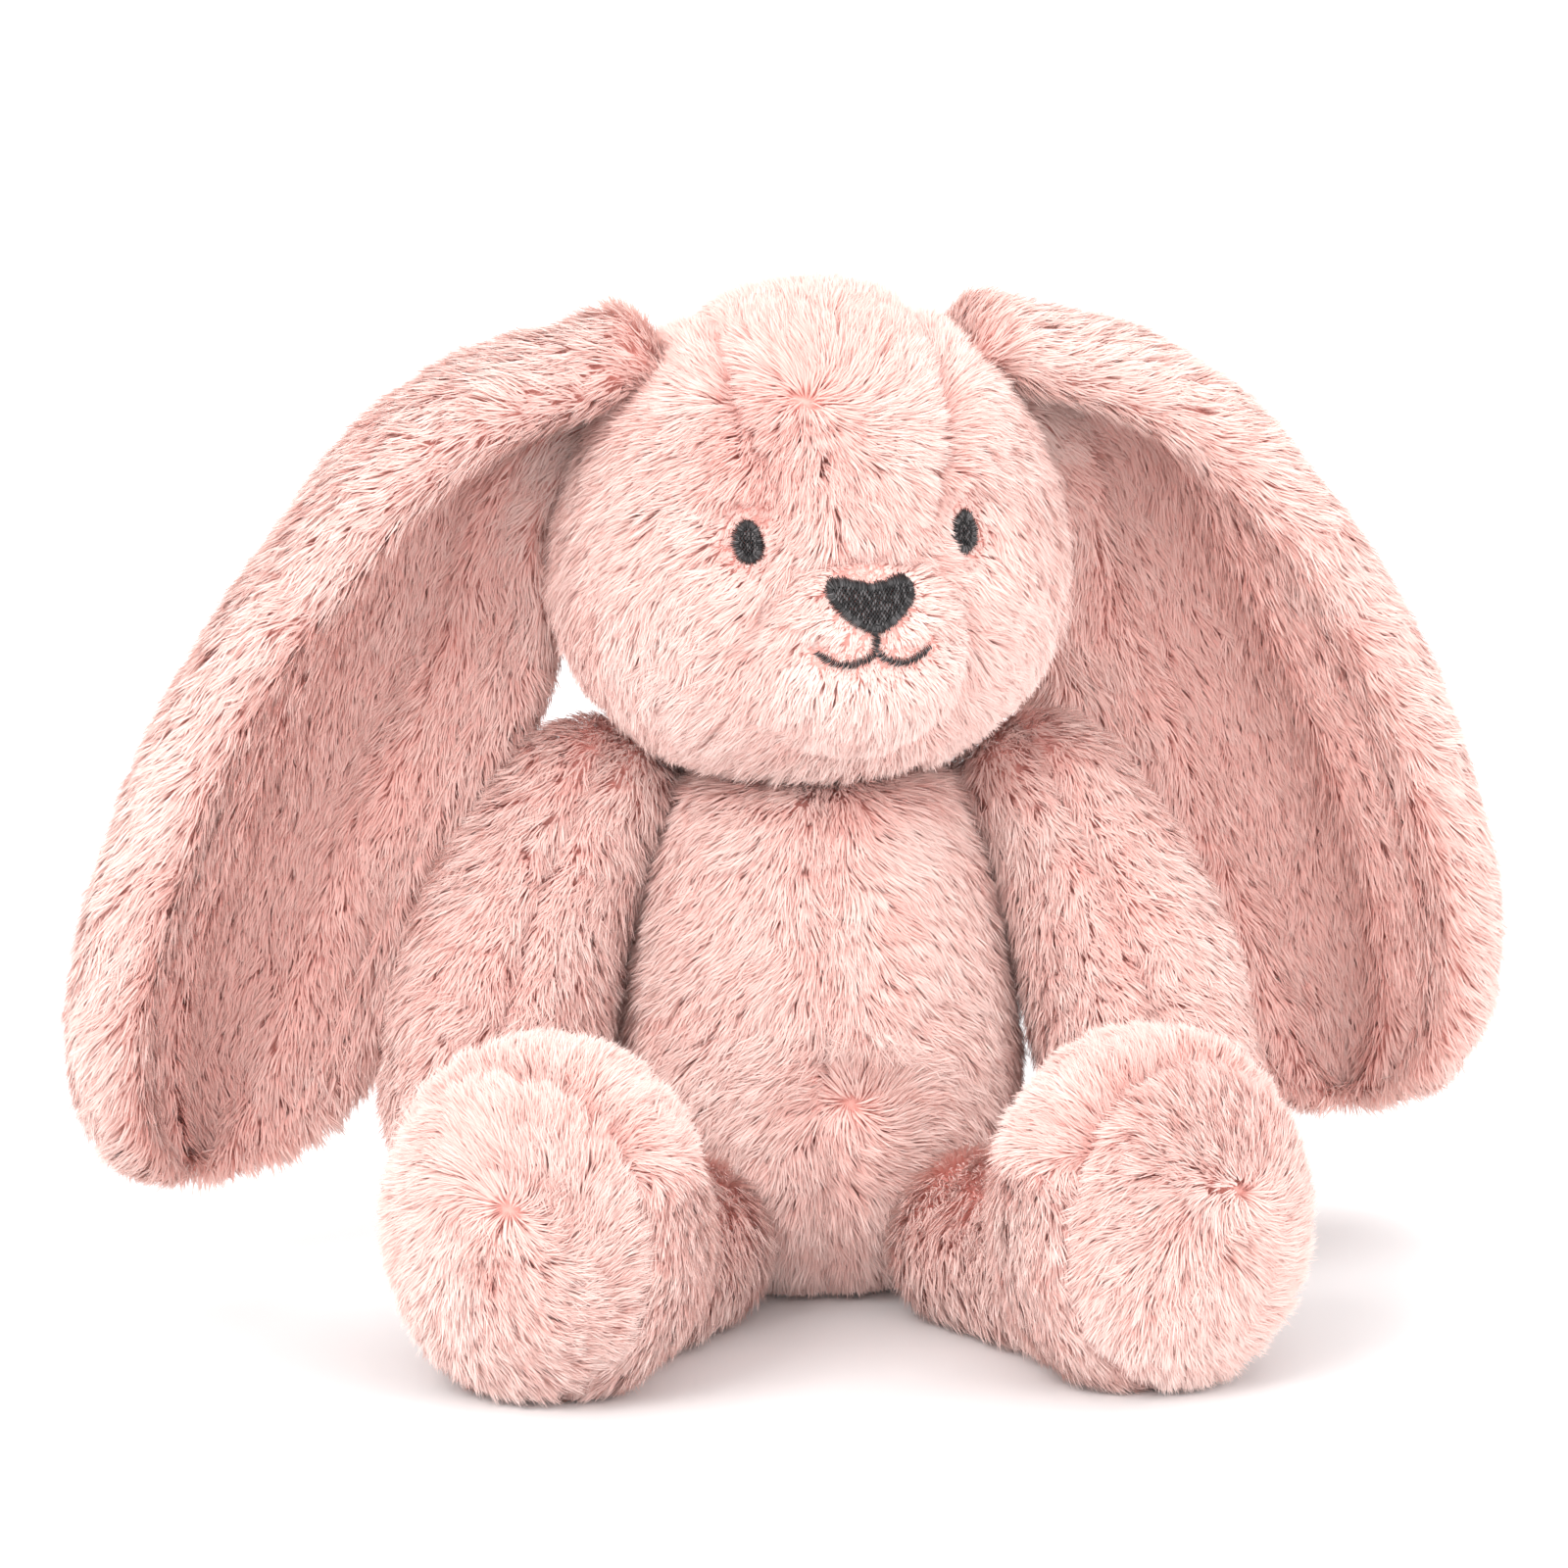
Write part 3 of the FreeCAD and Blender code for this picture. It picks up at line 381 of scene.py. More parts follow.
def torso_rows(levels=90, around=120):
    """Rings of an egg: radius by height from two half-axes, rounded at the seat, pulled in at four seams."""
    height = np.linspace(0.0008, 1, levels)[:, None] * TORSO_TOP
    turn = np.linspace(0, 2 * np.pi, around, endpoint=False)[None, :]
    rise = height - TORSO_WIDEST
    half_axis = np.where(rise > 0, TORSO_ABOVE, TORSO_BELOW)
    radius = TORSO_RADIUS * np.sqrt(np.clip(1 - (rise / half_axis) ** 2, 0.02, None))
    radius = radius * (1 - 0.6 * ease((height - 0.124) / 0.012))
    radius = radius - 0.010 * np.exp(-height / 0.004)
    seams = sum(groove(np.abs(np.angle(np.exp(1j * (turn - at)))) * radius, 0.0038, depth)
                for at, depth in ((-np.pi / 2, 0.0026), (0, 0.0016), (np.pi / 2, 0.0018), (np.pi, 0.0016)))
    belly = 0.003 * np.exp(-((height - 0.05) / 0.03) ** 2) * np.clip(-np.sin(turn), 0, 1) ** 2
    radius = radius - seams + belly
    return np.stack([radius * np.cos(turn), radius * np.sin(turn), height + 0 * turn], axis=-1)


def torso_comb(point):
    """Down the body and away from the belly's seam, and outwards from a star low on the belly."""
    navel = np.array([NAVEL_ACROSS, -TORSO_RADIUS, NAVEL_UP])
    away = point - navel
    far = np.linalg.norm(away, axis=1)
    near = (np.exp(-(far / 0.020) ** 2) * ease(far / 0.013))[:, None]
    star = unit(away + 0.8 * np.cross(away, np.array([0.0, 1.0, 0.0])))
    parting = np.clip(point[:, 0] / 0.02, -1, 1) * (point[:, 1] < 0)
    down = np.stack([0.6 * parting, 0 * far, -0.85 + 0 * far], axis=1)
    return down * (1 - near) + star * near * 1.5


def torso_tint(point):
    """Deeper in the belly's seam and at the star, where the pile parts and its roots show: partly the roots'
    own colour and partly painted shade in the crease and the parting.
    """
    front = point[:, 1] < 0
    seam = np.exp(-((point[:, 0] - 0.003 * np.sin(point[:, 2] * 60)) / 0.006) ** 2) * front
    star = np.exp(-(np.hypot(point[:, 0] - NAVEL_ACROSS, point[:, 2] - NAVEL_UP) / 0.010) ** 2) * front
    # The seam and star terms paint shade into the pile's colour.
    return 0.08 - 0.26 * seam - 0.06 * star


torso_skin = closed_skin("torso_skin", torso_rows(), "torso", torso_nodes)
for name, seed, count, test in (("torso_pile_front", 11, BELLY_BLADES, lambda p: p[:, 1] < 0),
                                ("torso_pile_back", 12, BACK_BLADES, lambda p: p[:, 1] >= 0)):
    pile(name, torso_skin, "torso", count, torso_comb, seed, where=test, tint=torso_tint)

# ---------------------------------------------------------------- tail
# A ball of the same plush, gathered round a knot of fibre and ladder-stitched low on the back.
tail_low, tail_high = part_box("tail_skin")
TAIL_CENTRE, TAIL_RADIUS = (np.array(tail_low) + np.array(tail_high)) / 2, 0.0172
TAIL_BLADES = 10000


def ball_rows(centre, radii, rings=24, around=36):
    """Rings of an ellipsoid from its lowest point to its highest."""
    tilt = np.linspace(-np.pi / 2 + 0.06, np.pi / 2 - 0.06, rings)[:, None]
    turn = np.linspace(0, 2 * np.pi, around, endpoint=False)[None, :]
    return centre + ball_directions(tilt, turn) * radii


def ball_directions(tilt, turn):
    """Unit directions by their tilt from the level and their turn about the upright."""
    level = np.cos(tilt)
    return np.stack([level * np.cos(turn), level * np.sin(turn), np.sin(tilt) + 0 * turn], axis=-1)


def tail_comb(point):
    """Outwards from a point a little above and before the ball's middle."""
    return point - TAIL_CENTRE + [0.0, 0.004, -0.006]


tail_skin = closed_skin("tail_ball", ball_rows(TAIL_CENTRE, TAIL_RADIUS), "torso",
                        ["tail_skin", "tail_stuffing"])
pile("tail_pile", tail_skin, "torso", TAIL_BLADES, tail_comb, 21, wildness=2.2)

# ---------------------------------------------------------------- care label and closing stitches
# A blank loop of woven polyester tape, folded and caught in the side seam near the tail, and the ladder of
# thread that closes the back after stuffing.
label_low, label_high = (np.array(corner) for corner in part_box("care_label"))
TAPE_STEPS, TAPE_RISE = 14, 12


def label_rows():
    """A folded tape: out along a gentle curve and back 1 mm beside it, joined by a round fold."""
    along = np.concatenate([np.linspace(0, 1, TAPE_STEPS), np.linspace(1, 0, TAPE_STEPS)])
    side = np.concatenate([np.full(TAPE_STEPS, 1.0), np.full(TAPE_STEPS, -1.0)])
    up = np.linspace(0, 1, TAPE_RISE)
    start = np.array([label_low[0], label_low[1], 0])
    reach = np.array([label_high[0] - label_low[0], label_high[1] - label_low[1], 0])
    aside = unit(np.array([-reach[1], reach[0], 0]))
    fold = np.sqrt(np.clip(1 - ((along - 0.93) / 0.07).clip(0, 1) ** 2, 0, 1))
    sway = 0.0012 * np.sin(along * 2.6)
    line = start + along[:, None] * reach + aside * (side * 0.0005 * fold + sway)[:, None]
    rows = np.repeat(line[None], TAPE_RISE, axis=0)
    rows[..., 2] = label_low[2] + up[:, None] * (label_high[2] - label_low[2])
    return rows


def label_material():
    """White tape with the fine cross ribs of its weave, from waves over its own height and length."""
    material, shader = matte("label_tape", (0.93, 0.92, 0.90, 1.0), 0.55)
    tree = material.node_tree
    place = tree.nodes.new("ShaderNodeTexCoord")
    ribs = tree.nodes.new("ShaderNodeTexWave")
    ribs.bands_direction = "Z"
    ribs.inputs["Scale"].default_value = 900
    tree.links.new(place.outputs["Object"], ribs.inputs["Vector"])
    colour = colour_of(tree, ((0.0, (0.86, 0.85, 0.83)), (1.0, (0.95, 0.945, 0.93))), ribs.outputs["Fac"])
    tree.links.new(colour, shader.inputs["Base Color"])
    raised(tree, shader, ribs.outputs["Fac"], 0.0001)
    return material


def pink_thread_material():
    """Pink polyester thread: its twist is a fine slanting wave over the toy, as colour and as bump."""
    material, shader = matte("pink_thread", (*DEEP_PINK, 1.0), 0.45)
    tree = material.node_tree
    place = tree.nodes.new("ShaderNodeTexCoord")
    twist = tree.nodes.new("ShaderNodeTexWave")
    twist.bands_direction = "DIAGONAL"
    twist.inputs["Scale"].default_value = 700
    tree.links.new(place.outputs["Object"], twist.inputs["Vector"])
    colour = colour_of(tree, ((0.0, ROOT_PINK), (1.0, TIP_PINK)), twist.outputs["Fac"])
    tree.links.new(colour, shader.inputs["Base Color"])
    raised(tree, shader, twist.outputs["Fac"], 0.0001)
    return material


label = grid_mesh("care_label_tape", label_rows())
label.data.materials.append(label_material())
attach(label, "torso")
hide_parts("care_label")

PINK_THREAD = pink_thread_material()
for node in ("neck_thread", "back_closing_stitches"):
    thread = frame["nodes"][node]
    thread.data.materials.clear()
    thread.data.materials.append(PINK_THREAD)

# ---------------------------------------------------------------- head
# A round head of two face panels, a middle gusset over the crown and two back panels, packed hard with fibre.
# The snout is a separate padded patch of shorter, paler pile, and the stitched eyes pull the cloth in.
HEAD_WIDTH, HEAD_DEPTH, HEAD_ABOVE, HEAD_BELOW = 0.0605, 0.0575, 0.0708, 0.0475
SNOUT_WIDTH, SNOUT_DEPTH, SNOUT_TALL, SNOUT_FRONT, SNOUT_DROP = 0.026, 0.0200, 0.0245, 0.0455, 0.0065
EYE_ANGLE, EYE_RISE = math.radians(28), 0.0190
SNOUT_SEAM, GUSSET_HALF = 0.0245, 0.024
FILL_BELOW, FILL_ABOVE = 46, 71
FACE_BLADES, NAPE_BLADES = 62000, 50000
head_axis = joints["neck_nod"]["axis"]
HEAD_TURN = math.atan2(head_axis[1], head_axis[0])
head_low, head_high = (np.array(corner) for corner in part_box("head_stuffing"))
cheek_level = head_low[2] + (head_high[2] - head_low[2]) * FILL_BELOW / (FILL_BELOW + FILL_ABOVE)
HEAD_CENTRE = np.array([(head_low[0] + head_high[0]) / 2, (head_low[1] + head_high[1]) / 2, cheek_level])


def from_head(points):
    """From the head's own frame, face along -Y about the middle of the cheeks' level, to the toy's frame."""
    c, s = math.cos(HEAD_TURN), math.sin(HEAD_TURN)
    return points @ np.array([[c, s, 0], [-s, c, 0], [0, 0, 1]]) + HEAD_CENTRE


def to_head(points):
    """From the toy's frame to the head's own frame: the turn of from_head the other way."""
    c, s = math.cos(HEAD_TURN), math.sin(HEAD_TURN)
    return (points - HEAD_CENTRE) @ np.array([[c, -s, 0], [s, c, 0], [0, 0, 1]])


def eye_spots():
    """Where the two eyes are on the head's egg, by their angle from the face's middle and their rise."""
    ring = math.sqrt(1 - (EYE_RISE / HEAD_ABOVE) ** 2)
    return [np.array([hand * HEAD_WIDTH * ring * math.sin(EYE_ANGLE),
                      -HEAD_DEPTH * ring * math.cos(EYE_ANGLE), EYE_RISE]) for hand in (1, -1)]


def face_seams(at):
    """How near a point of the head's frame is to the snout's seam and to the gusset's two, 1 on them."""
    ring = np.hypot(at[..., 0], (at[..., 2] + SNOUT_DROP) * SNOUT_WIDTH / SNOUT_TALL)
    snout = groove(ring - SNOUT_SEAM, 0.0040, 1.0) * (at[..., 1] < -0.02) * (1 - ease(-at[..., 2] / 0.03))
    narrow = GUSSET_HALF * (0.62 + 0.38 * ease((at[..., 2] - 0.015) / 0.04))
    gusset = groove(np.abs(at[..., 0]) - narrow, 0.0034, 1.0) * ease((at[..., 2] - 0.012) / 0.02)
    return snout, gusset


def head_reach(direction):
    """Distance from the centre to the head's surface along unit directions.

    The larger, smoothly joined, of an egg of two half ellipsoids and the snout's ellipsoid; less a groove
    round the snout and along the gusset, and a dimple at each eye.
    """
    x, y, z = direction[..., 0], direction[..., 1], direction[..., 2]
    tall = np.where(z > 0, HEAD_ABOVE, HEAD_BELOW)
    egg = 1 / np.sqrt((x / HEAD_WIDTH) ** 2 + (y / HEAD_DEPTH) ** 2 + (z / tall) ** 2)
    centre = np.array([0, -SNOUT_FRONT, -SNOUT_DROP])
    scale = np.array([SNOUT_WIDTH, SNOUT_DEPTH, SNOUT_TALL])
    d, c = direction / scale, centre / scale
    dd, dc, cc = (d * d).sum(axis=-1), (d * c).sum(axis=-1), (c * c).sum(axis=-1)
    inside = dc**2 - dd * (cc - 1)
    snout = np.where((inside > 0) & (dc > 0), (dc + np.sqrt(np.clip(inside, 0, None))) / dd, 0)
    soft = 0.0022
    reach = soft * np.logaddexp(egg / soft, snout / soft)
    spot = direction * reach[..., None]
    snout_seam, gusset_seam = face_seams(spot)
    reach = reach - 0.0024 * snout_seam - 0.0024 * gusset_seam
    for eye in eye_spots():
        reach = reach - groove(np.linalg.norm(spot - eye, axis=-1), 0.0075, 0.0026)
    return reach


def head_rows(rings=120, around=170):
    """Rings of the head from the chin up: unit directions times the head's reach along each."""
    tilt = np.linspace(-np.pi / 2 + 0.012, np.pi / 2 - 0.012, rings)[:, None]
    turn = np.linspace(0, 2 * np.pi, around, endpoint=False)[None, :]
    direction = ball_directions(tilt, turn)
    return from_head(direction * head_reach(direction)[..., None])


def on_snout(at, wide):
    """1 in the middle of the snout's front and 0 beyond this width of it, falling off as a fourth power."""
    return np.exp(-(np.hypot(at[:, 0], at[:, 2] + SNOUT_DROP) / wide) ** 4) * (at[:, 1] < -0.03)


def past_parting(at):
    """How far across a point is from the line on the brow where the pile parts, which slants outwards."""
    return at[:, 0] + 0.014 - 0.25 * (at[:, 2] - 0.04)


def head_comb(point):
    """Outwards and down on the face, sideways from a parting on the brow, then back over the crown and down
    behind it; on the snout, away from the nose."""
    at = to_head(point)
    snout = on_snout(at, 0.024)[:, None]
    side = np.clip(at[:, 0] / 0.035, -1, 1)
    swirl = 0.3 * np.sin(at[:, 0] * 70 + at[:, 2] * 45)
    crown = ease((at[:, 2] - 0.020 + 0.005 * np.sin(at[:, 0] * 90)) / 0.045)
    turn = np.pi * (0.92 * crown - 0.5)
    parted = np.tanh(past_parting(at) / 0.016)
    down = np.stack([0.75 * side + swirl, 0.35 * (at[:, 1] > 0), -0.9 + 0 * side], axis=1)
    round_top = np.stack([parted * np.maximum(np.cos(turn), 0.5), np.clip(np.sin(turn), 0, 1),
                          0.6 * np.sin(turn) * (1 - 2.2 * ease((at[:, 1] + 0.015) / 0.035))], axis=1)
    flow = down * (1 - crown)[:, None] + round_top * crown[:, None]
    away = at - np.array([0, -0.066, 0.006])
    flow = flow * (1 - snout) + unit(away + np.array([0, 0, -0.006])) * snout * 1.2
    return from_head(flow) - HEAD_CENTRE


def near_stitches(at):
    """Distance in the head's frame from the stitched eyes, nose and mouth, as if each were a round spot."""
    spots = [(eye + [0, 0, up], wide) for eye in eye_spots()
             for up, wide in ((0.0, 0.0045), (0.0055, 0.0038))]
    spots += [(np.array([0, -0.0645, 0.0085]), 0.0085), (np.array([0, -0.066, -0.0025]), 0.0015)]
    spots += [(np.array([x, -0.0655 + abs(x) * 0.18,
                         -0.0075 + 0.0015 * (abs(abs(x) - 0.007) > 0.004)]), 0.0012)
              for x in np.linspace(-0.0135, 0.0135, 9)]
    return np.min([np.linalg.norm(at - spot, axis=1) - radius for spot, radius in spots], axis=0)


def head_height(point):
    """Full pile on the head, shorter on the snout, and pressed down to a stubble beside the stitches."""
    at = to_head(point)
    snout = on_snout(at, 0.026)
    snout_seam, gusset_seam = face_seams(at)
    return ((1 - 0.28 * snout) * (0.14 + 0.86 * ease(near_stitches(at) / 0.0075))
            * (1 - 0.30 * snout_seam) * (1 - 0.35 * gusset_seam))


def head_tint(point):
    """Paler on the snout and the lower cheeks, deeper down a slanting band of the brow, and deeper in the
    seams, where painted shade stands for the shadow in their grooves.
    """
    at = to_head(point)
    snout = on_snout(at, 0.024)
    brow = np.exp(-((past_parting(at) / 0.015) ** 2 + ((at[:, 2] - 0.043) / 0.020) ** 2)) * (at[:, 1] < 0)
    low = ease(-at[:, 2] / 0.04)
    snout_seam, gusset_seam = face_seams(at)
    # The snout_seam and gusset_seam terms are painted shade in the seams' grooves.
    return 0.26 * snout - 0.40 * brow + 0.12 * low + 0.05 - 0.22 * snout_seam - 0.28 * gusset_seam


head_nodes = ["face_gusset", "nape_gusset", "cheek_left", "cheek_right", "head_back_left", "head_back_right",
              "head_stuffing", "muzzle_panel", "muzzle_stuffing"]
head_skin = closed_skin("head_skin", head_rows(), "head", head_nodes)
for name, seed, count, test in (
        ("head_pile_face_left", 31, FACE_BLADES, lambda p: (to_head(p)[:, 1] < 0) & (to_head(p)[:, 0] > 0)),
        ("head_pile_face_right", 32, FACE_BLADES, lambda p: (to_head(p)[:, 1] < 0) & (to_head(p)[:, 0] <= 0)),
        ("head_pile_back", 33, NAPE_BLADES, lambda p: to_head(p)[:, 1] >= 0)):
    pile(name, head_skin, "head", count, head_comb, seed, where=test, height=head_height, tint=head_tint)

# ---------------------------------------------------------------- stitched face
# Eyes, nose and mouth in charcoal embroidery thread: a filling of short parallel stitches inside a border of
# satin stitches whose ends stand out like fine spikes.
# The second colour is a painted highlight on the charcoal thread.
THREAD_GREY, THREAD_PAINTED_HIGHLIGHT = (0.022, 0.020, 0.021), (0.13, 0.122, 0.125)
THREAD_RADIUS, THREAD_LIFT = 0.00033, 0.0017


def thread_material():
    """Charcoal thread: each stitch a little lighter or darker by its map's u, the lighter ones a painted
    highlight for light caught on the thread, with a soft shine.
    """
    material, shader = matte("face_thread", (*THREAD_GREY, 1.0), 0.5)
    tree = material.node_tree
    shader.inputs["Specular IOR Level"].default_value = 0.35
    stitch = tree.nodes.new("ShaderNodeUVMap")
    stitch.uv_map = "thread"
    split = tree.nodes.new("ShaderNodeSeparateXYZ")
    tree.links.new(stitch.outputs["UV"], split.inputs["Vector"])
    # Stitches with u above one half blend towards the painted highlight colour.
    shades = ((0.0, THREAD_GREY), (0.5, THREAD_GREY), (1.0, THREAD_PAINTED_HIGHLIGHT))
    colour = colour_of(tree, shades, split.outputs["X"])
    tree.links.new(colour, shader.inputs["Base Color"])
    return material


THREAD = thread_material()


def face_front(x, z):
    """The face's y at a place across and up in the head's frame, by halving the distance along y."""
    low, high = np.full(np.shape(x), -0.09), np.full(np.shape(x), -0.02)
    for _ in range(24):
        mid = (low + high) / 2
        spot = np.stack([x, mid, z], axis=-1)
        far = np.linalg.norm(spot, axis=-1)
        outside = far > head_reach(spot / far[..., None])
        low, high = np.where(outside, mid, low), np.where(outside, high, mid)
    return (low + high) / 2


def stitches(name, node, starts, ends, rng, thread=THREAD_RADIUS):
    """A thread for each start and end (x, z) on the face: a five-sided tube that arches between them.

    Its middle line is the straight line between the ends, carried out to the face's surface plus an arch
    that is a half sine; the tube's radius tapers towards both ends.
    """
    count, steps, sides = len(starts), 6, 5
    along = np.linspace(0, 1, steps)
    flat = starts[:, None] * (1 - along[None, :, None]) + ends[:, None] * along[None, :, None]
    lift = THREAD_LIFT * (0.55 + 0.45 * np.sin(np.pi * along))[None] * (0.9 + 0.2 * rng.random((count, 1)))
    y = face_front(flat[..., 0], flat[..., 1]) - lift
    line = np.stack([flat[..., 0], y, flat[..., 1]], axis=-1)
    ahead = unit(np.gradient(line, axis=1))
    outward = np.array([0.0, -1.0, 0.0])
    side = unit(np.cross(ahead, outward))
    over = np.cross(side, ahead)
    radius = thread * (0.25 + 0.65 * np.sin(np.pi * np.clip(along, 0.04, 0.96)))[None, :, None, None]
    turn = np.linspace(0, 2 * np.pi, sides, endpoint=False)
    ring = (side[:, :, None] * np.cos(turn)[None, None, :, None]
            + over[:, :, None] * np.sin(turn)[None, None, :, None])
    points = line[:, :, None] + ring * radius
    index = np.arange(count * steps * sides).reshape(count, steps, sides)
    after = np.roll(index, -1, axis=2)
    quads = np.stack([index[:, :-1], after[:, :-1], after[:, 1:], index[:, 1:]], axis=-1).reshape(-1, 4)
    piece = new_piece(name, from_head(points.reshape(-1, 3)), quads)
    # A random u for each stitch, which sets how much painted highlight it gets.
    shade = np.repeat(rng.random(count), quads.size // count)
    share = along[quads % (steps * sides) // sides].ravel()[:quads.size // count]
    places = np.stack([shade, np.tile(share, count)], axis=1)
    for map_name in ("thread", "OFBake"):
        piece.data.uv_layers.new(name=map_name).data.foreach_set("uv", places.astype(np.float32).ravel())
    piece.data.materials.append(THREAD)
    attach(piece, "head")
    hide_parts(node)
    return piece


def border_and_fill(outline, lean, pitch, inset, rng):
    """Stitches over a closed outline of (x, z): spikes across its border and rows of short ones inside it.

    A spot is inside where a level ray from it crosses the outline an odd number of times.
    """
    step = np.roll(outline, -1, axis=0) - outline
    inward = unit(np.stack([-step[:, 1], step[:, 0]], axis=1))
    middle = outline.mean(axis=0)
    if ((middle - outline) * inward).sum() < 0:
        inward = -inward
    reach = (0.4 + 1.2 * rng.random(len(outline)))[:, None]
    border_starts = outline - inward * 0.00062 * reach
    border_ends = outline + inward * inset * (0.8 + 0.4 * reach)
    low, high = outline.min(axis=0), outline.max(axis=0)
    x, z = np.meshgrid(np.arange(low[0], high[0], pitch), np.arange(low[1], high[1], pitch * 2.6))
    x = x + 0.35 * pitch * (rng.random(x.shape) - 0.5)
    z = z + pitch * 1.3 * (np.arange(x.shape[1]) % 2)[None, :]
    spots = np.stack([x.ravel(), z.ravel()], axis=1)
    a, b = outline, np.roll(outline, -1, axis=0)
    crosses = ((a[None, :, 1] > spots[:, None, 1]) != (b[None, :, 1] > spots[:, None, 1]))
    where = ((b[None, :, 0] - a[None, :, 0]) * (spots[:, None, 1] - a[None, :, 1])
             / (b[None, :, 1] - a[None, :, 1] + 1e-12) + a[None, :, 0])
    inside = (crosses & (spots[:, None, 0] < where)).sum(axis=1) % 2 == 1
    gap = np.linalg.norm(spots[:, None] - outline[None], axis=2).min(axis=1)
    spots = spots[inside & (gap > inset * 0.55)]
    reach = np.array([lean, 1.0]) * pitch * 1.5
    return np.concatenate([spots - reach, border_starts]), np.concatenate([spots + reach, border_ends])


def even_outline(corners, pitch, rounding=2):
    """Points at an even pitch round a polygon whose corners are rounded by cutting them, time after time."""
    points = np.array(corners, dtype=float)
    for _ in range(rounding):
        after = np.roll(points, -1, axis=0)
        points = np.stack([0.75 * points + 0.25 * after, 0.25 * points + 0.75 * after], axis=1).reshape(-1, 2)
    closed = np.concatenate([points, points[:1]])
    length = np.concatenate([[0], np.cumsum(np.linalg.norm(np.diff(closed, axis=0), axis=1))])
    at = np.linspace(0, length[-1], int(length[-1] / pitch), endpoint=False)
    return np.stack([np.interp(at, length, closed[:, 0]), np.interp(at, length, closed[:, 1])], axis=1)


rng = np.random.default_rng(7)
nose_corners = [(-0.0113, 0.0100), (-0.0068, 0.0112), (-0.0025, 0.0097), (0.0025, 0.0097), (0.0068, 0.0112),
                (0.0113, 0.0100), (0.0102, 0.0052), (0.0047, 0.0004), (0.0, -0.0016), (-0.0047, 0.0004),
                (-0.0102, 0.0052)]
nose_outline = even_outline(nose_corners, 0.00042)
stitches("nose_stitches", "nose", *border_and_fill(nose_outline, 0.15, 0.00046, 0.0016, rng), rng)

for node, eye, seed in (("eye_left", eye_spots()[0], 3), ("eye_right", eye_spots()[1], 4)):
    turn = np.linspace(0, 2 * np.pi, 60, endpoint=False)
    width = 0.0035 * (1 - 0.12 * np.sin(turn)) * math.cos(EYE_ANGLE)
    oval = np.stack([eye[0] + width * np.cos(turn), eye[2] + 0.0047 * np.sin(turn)], axis=1)
    stitches(f"{node}_stitches", node, *border_and_fill(oval, 0.1, 0.00042, 0.0013, rng), rng)

stem = np.stack([np.zeros(20), np.linspace(0.0008, -0.0060, 20)], axis=1)
smile_turn = np.radians(np.linspace(-133, -43, 34))
smile = np.stack([0.0097 * np.cos(smile_turn) + 0.0071, 0.0097 * np.sin(smile_turn) + 0.0006], axis=1)
mouth_line = np.concatenate([stem, smile, smile * [-1, 1]])
mouth_ahead = unit(np.concatenate([np.gradient(part, axis=0) for part in (stem, smile, smile * [-1, 1])]))
mouth_across = np.stack([-mouth_ahead[:, 1], mouth_ahead[:, 0]], axis=1)
lean = 0.00022 * mouth_ahead
reach = 0.00095 * (0.55 + 0.9 * rng.random((len(mouth_line), 2)))
stitches("mouth_stitches", "mouth", mouth_line - mouth_across * reach[:, :1] - lean,
         mouth_line + mouth_across * reach[:, 1:] + lean, rng, thread=0.00025)

# ---------------------------------------------------------------- ears
# Long lop ears: an outer cloth and a lining with thin wadding between, sewn round the edge, turned, and set
# into the head's side seams. Each one droops from its root and curls forward round a hollow.
EAR_LENGTH, EAR_HALF, EAR_BASE_HALF = 0.229, 0.0425, 0.0150
EAR_ROOT_ANGLE, EAR_FALL_ANGLE, EAR_TIP_ANGLE, EAR_BEND, EAR_DROP = 10.0, 69.0, 88.0, 0.26, 0.70
EAR_SWEEP, EAR_FULL_WIDTH, EAR_SUNK = 0.020, 0.6, 0.13
EAR_BLADES = 70000


def ear_frame(t):
    """Middle line, widthwise and backward directions at shares t of the ear's length, t < 0 inside the head.

    The line's slope goes from its angle at the root to its fall and then its tip, and is summed up along it.
    Inside the head it goes straight on, humps over the root and dives.
    """
    fine = np.linspace(0, 1, 801)
    bent = np.clip(fine / EAR_BEND, 0, 1)
    dropped = np.clip((fine - EAR_DROP) / (1 - EAR_DROP), 0, None)
    angle = np.radians(EAR_ROOT_ANGLE + (EAR_FALL_ANGLE - EAR_ROOT_ANGLE) * bent
                       + (EAR_TIP_ANGLE - EAR_FALL_ANGLE) * dropped)
    step = EAR_LENGTH / 800
    line = np.stack([np.cumsum(np.cos(angle)) * step, EAR_SWEEP * np.sin(np.pi / 2 * fine),
                     -np.cumsum(np.sin(angle)) * step], axis=1)
    middle = np.stack([np.interp(t, fine, line[:, k]) for k in range(3)], axis=1)
    sunk = np.clip(-t / EAR_SUNK, 0, 1)[:, None]
    middle = middle - sunk * EAR_SUNK * EAR_LENGTH * np.array([math.cos(angle[0]), 0, -math.sin(angle[0])])
    shoulder = 0.0025 * np.exp(-((t + 0.06) / 0.04) ** 2)
    dive = 0.018 * ease((-t - 0.06) / 0.07)
    middle[:, 2] += shoulder - dive
    tilt = np.interp(t, fine, angle)
    outward = np.stack([np.sin(tilt), 0 * t, np.cos(tilt)], axis=1)
    facing = np.radians(20 + 8 * (1 - ease(t / 0.4)))[:, None]
    backward = np.array([0.0, 1.0, 0.0])
    across = outward * np.cos(facing) - backward * np.sin(facing)
    back = outward * np.sin(facing) + backward * np.cos(facing)
    return middle, across, back


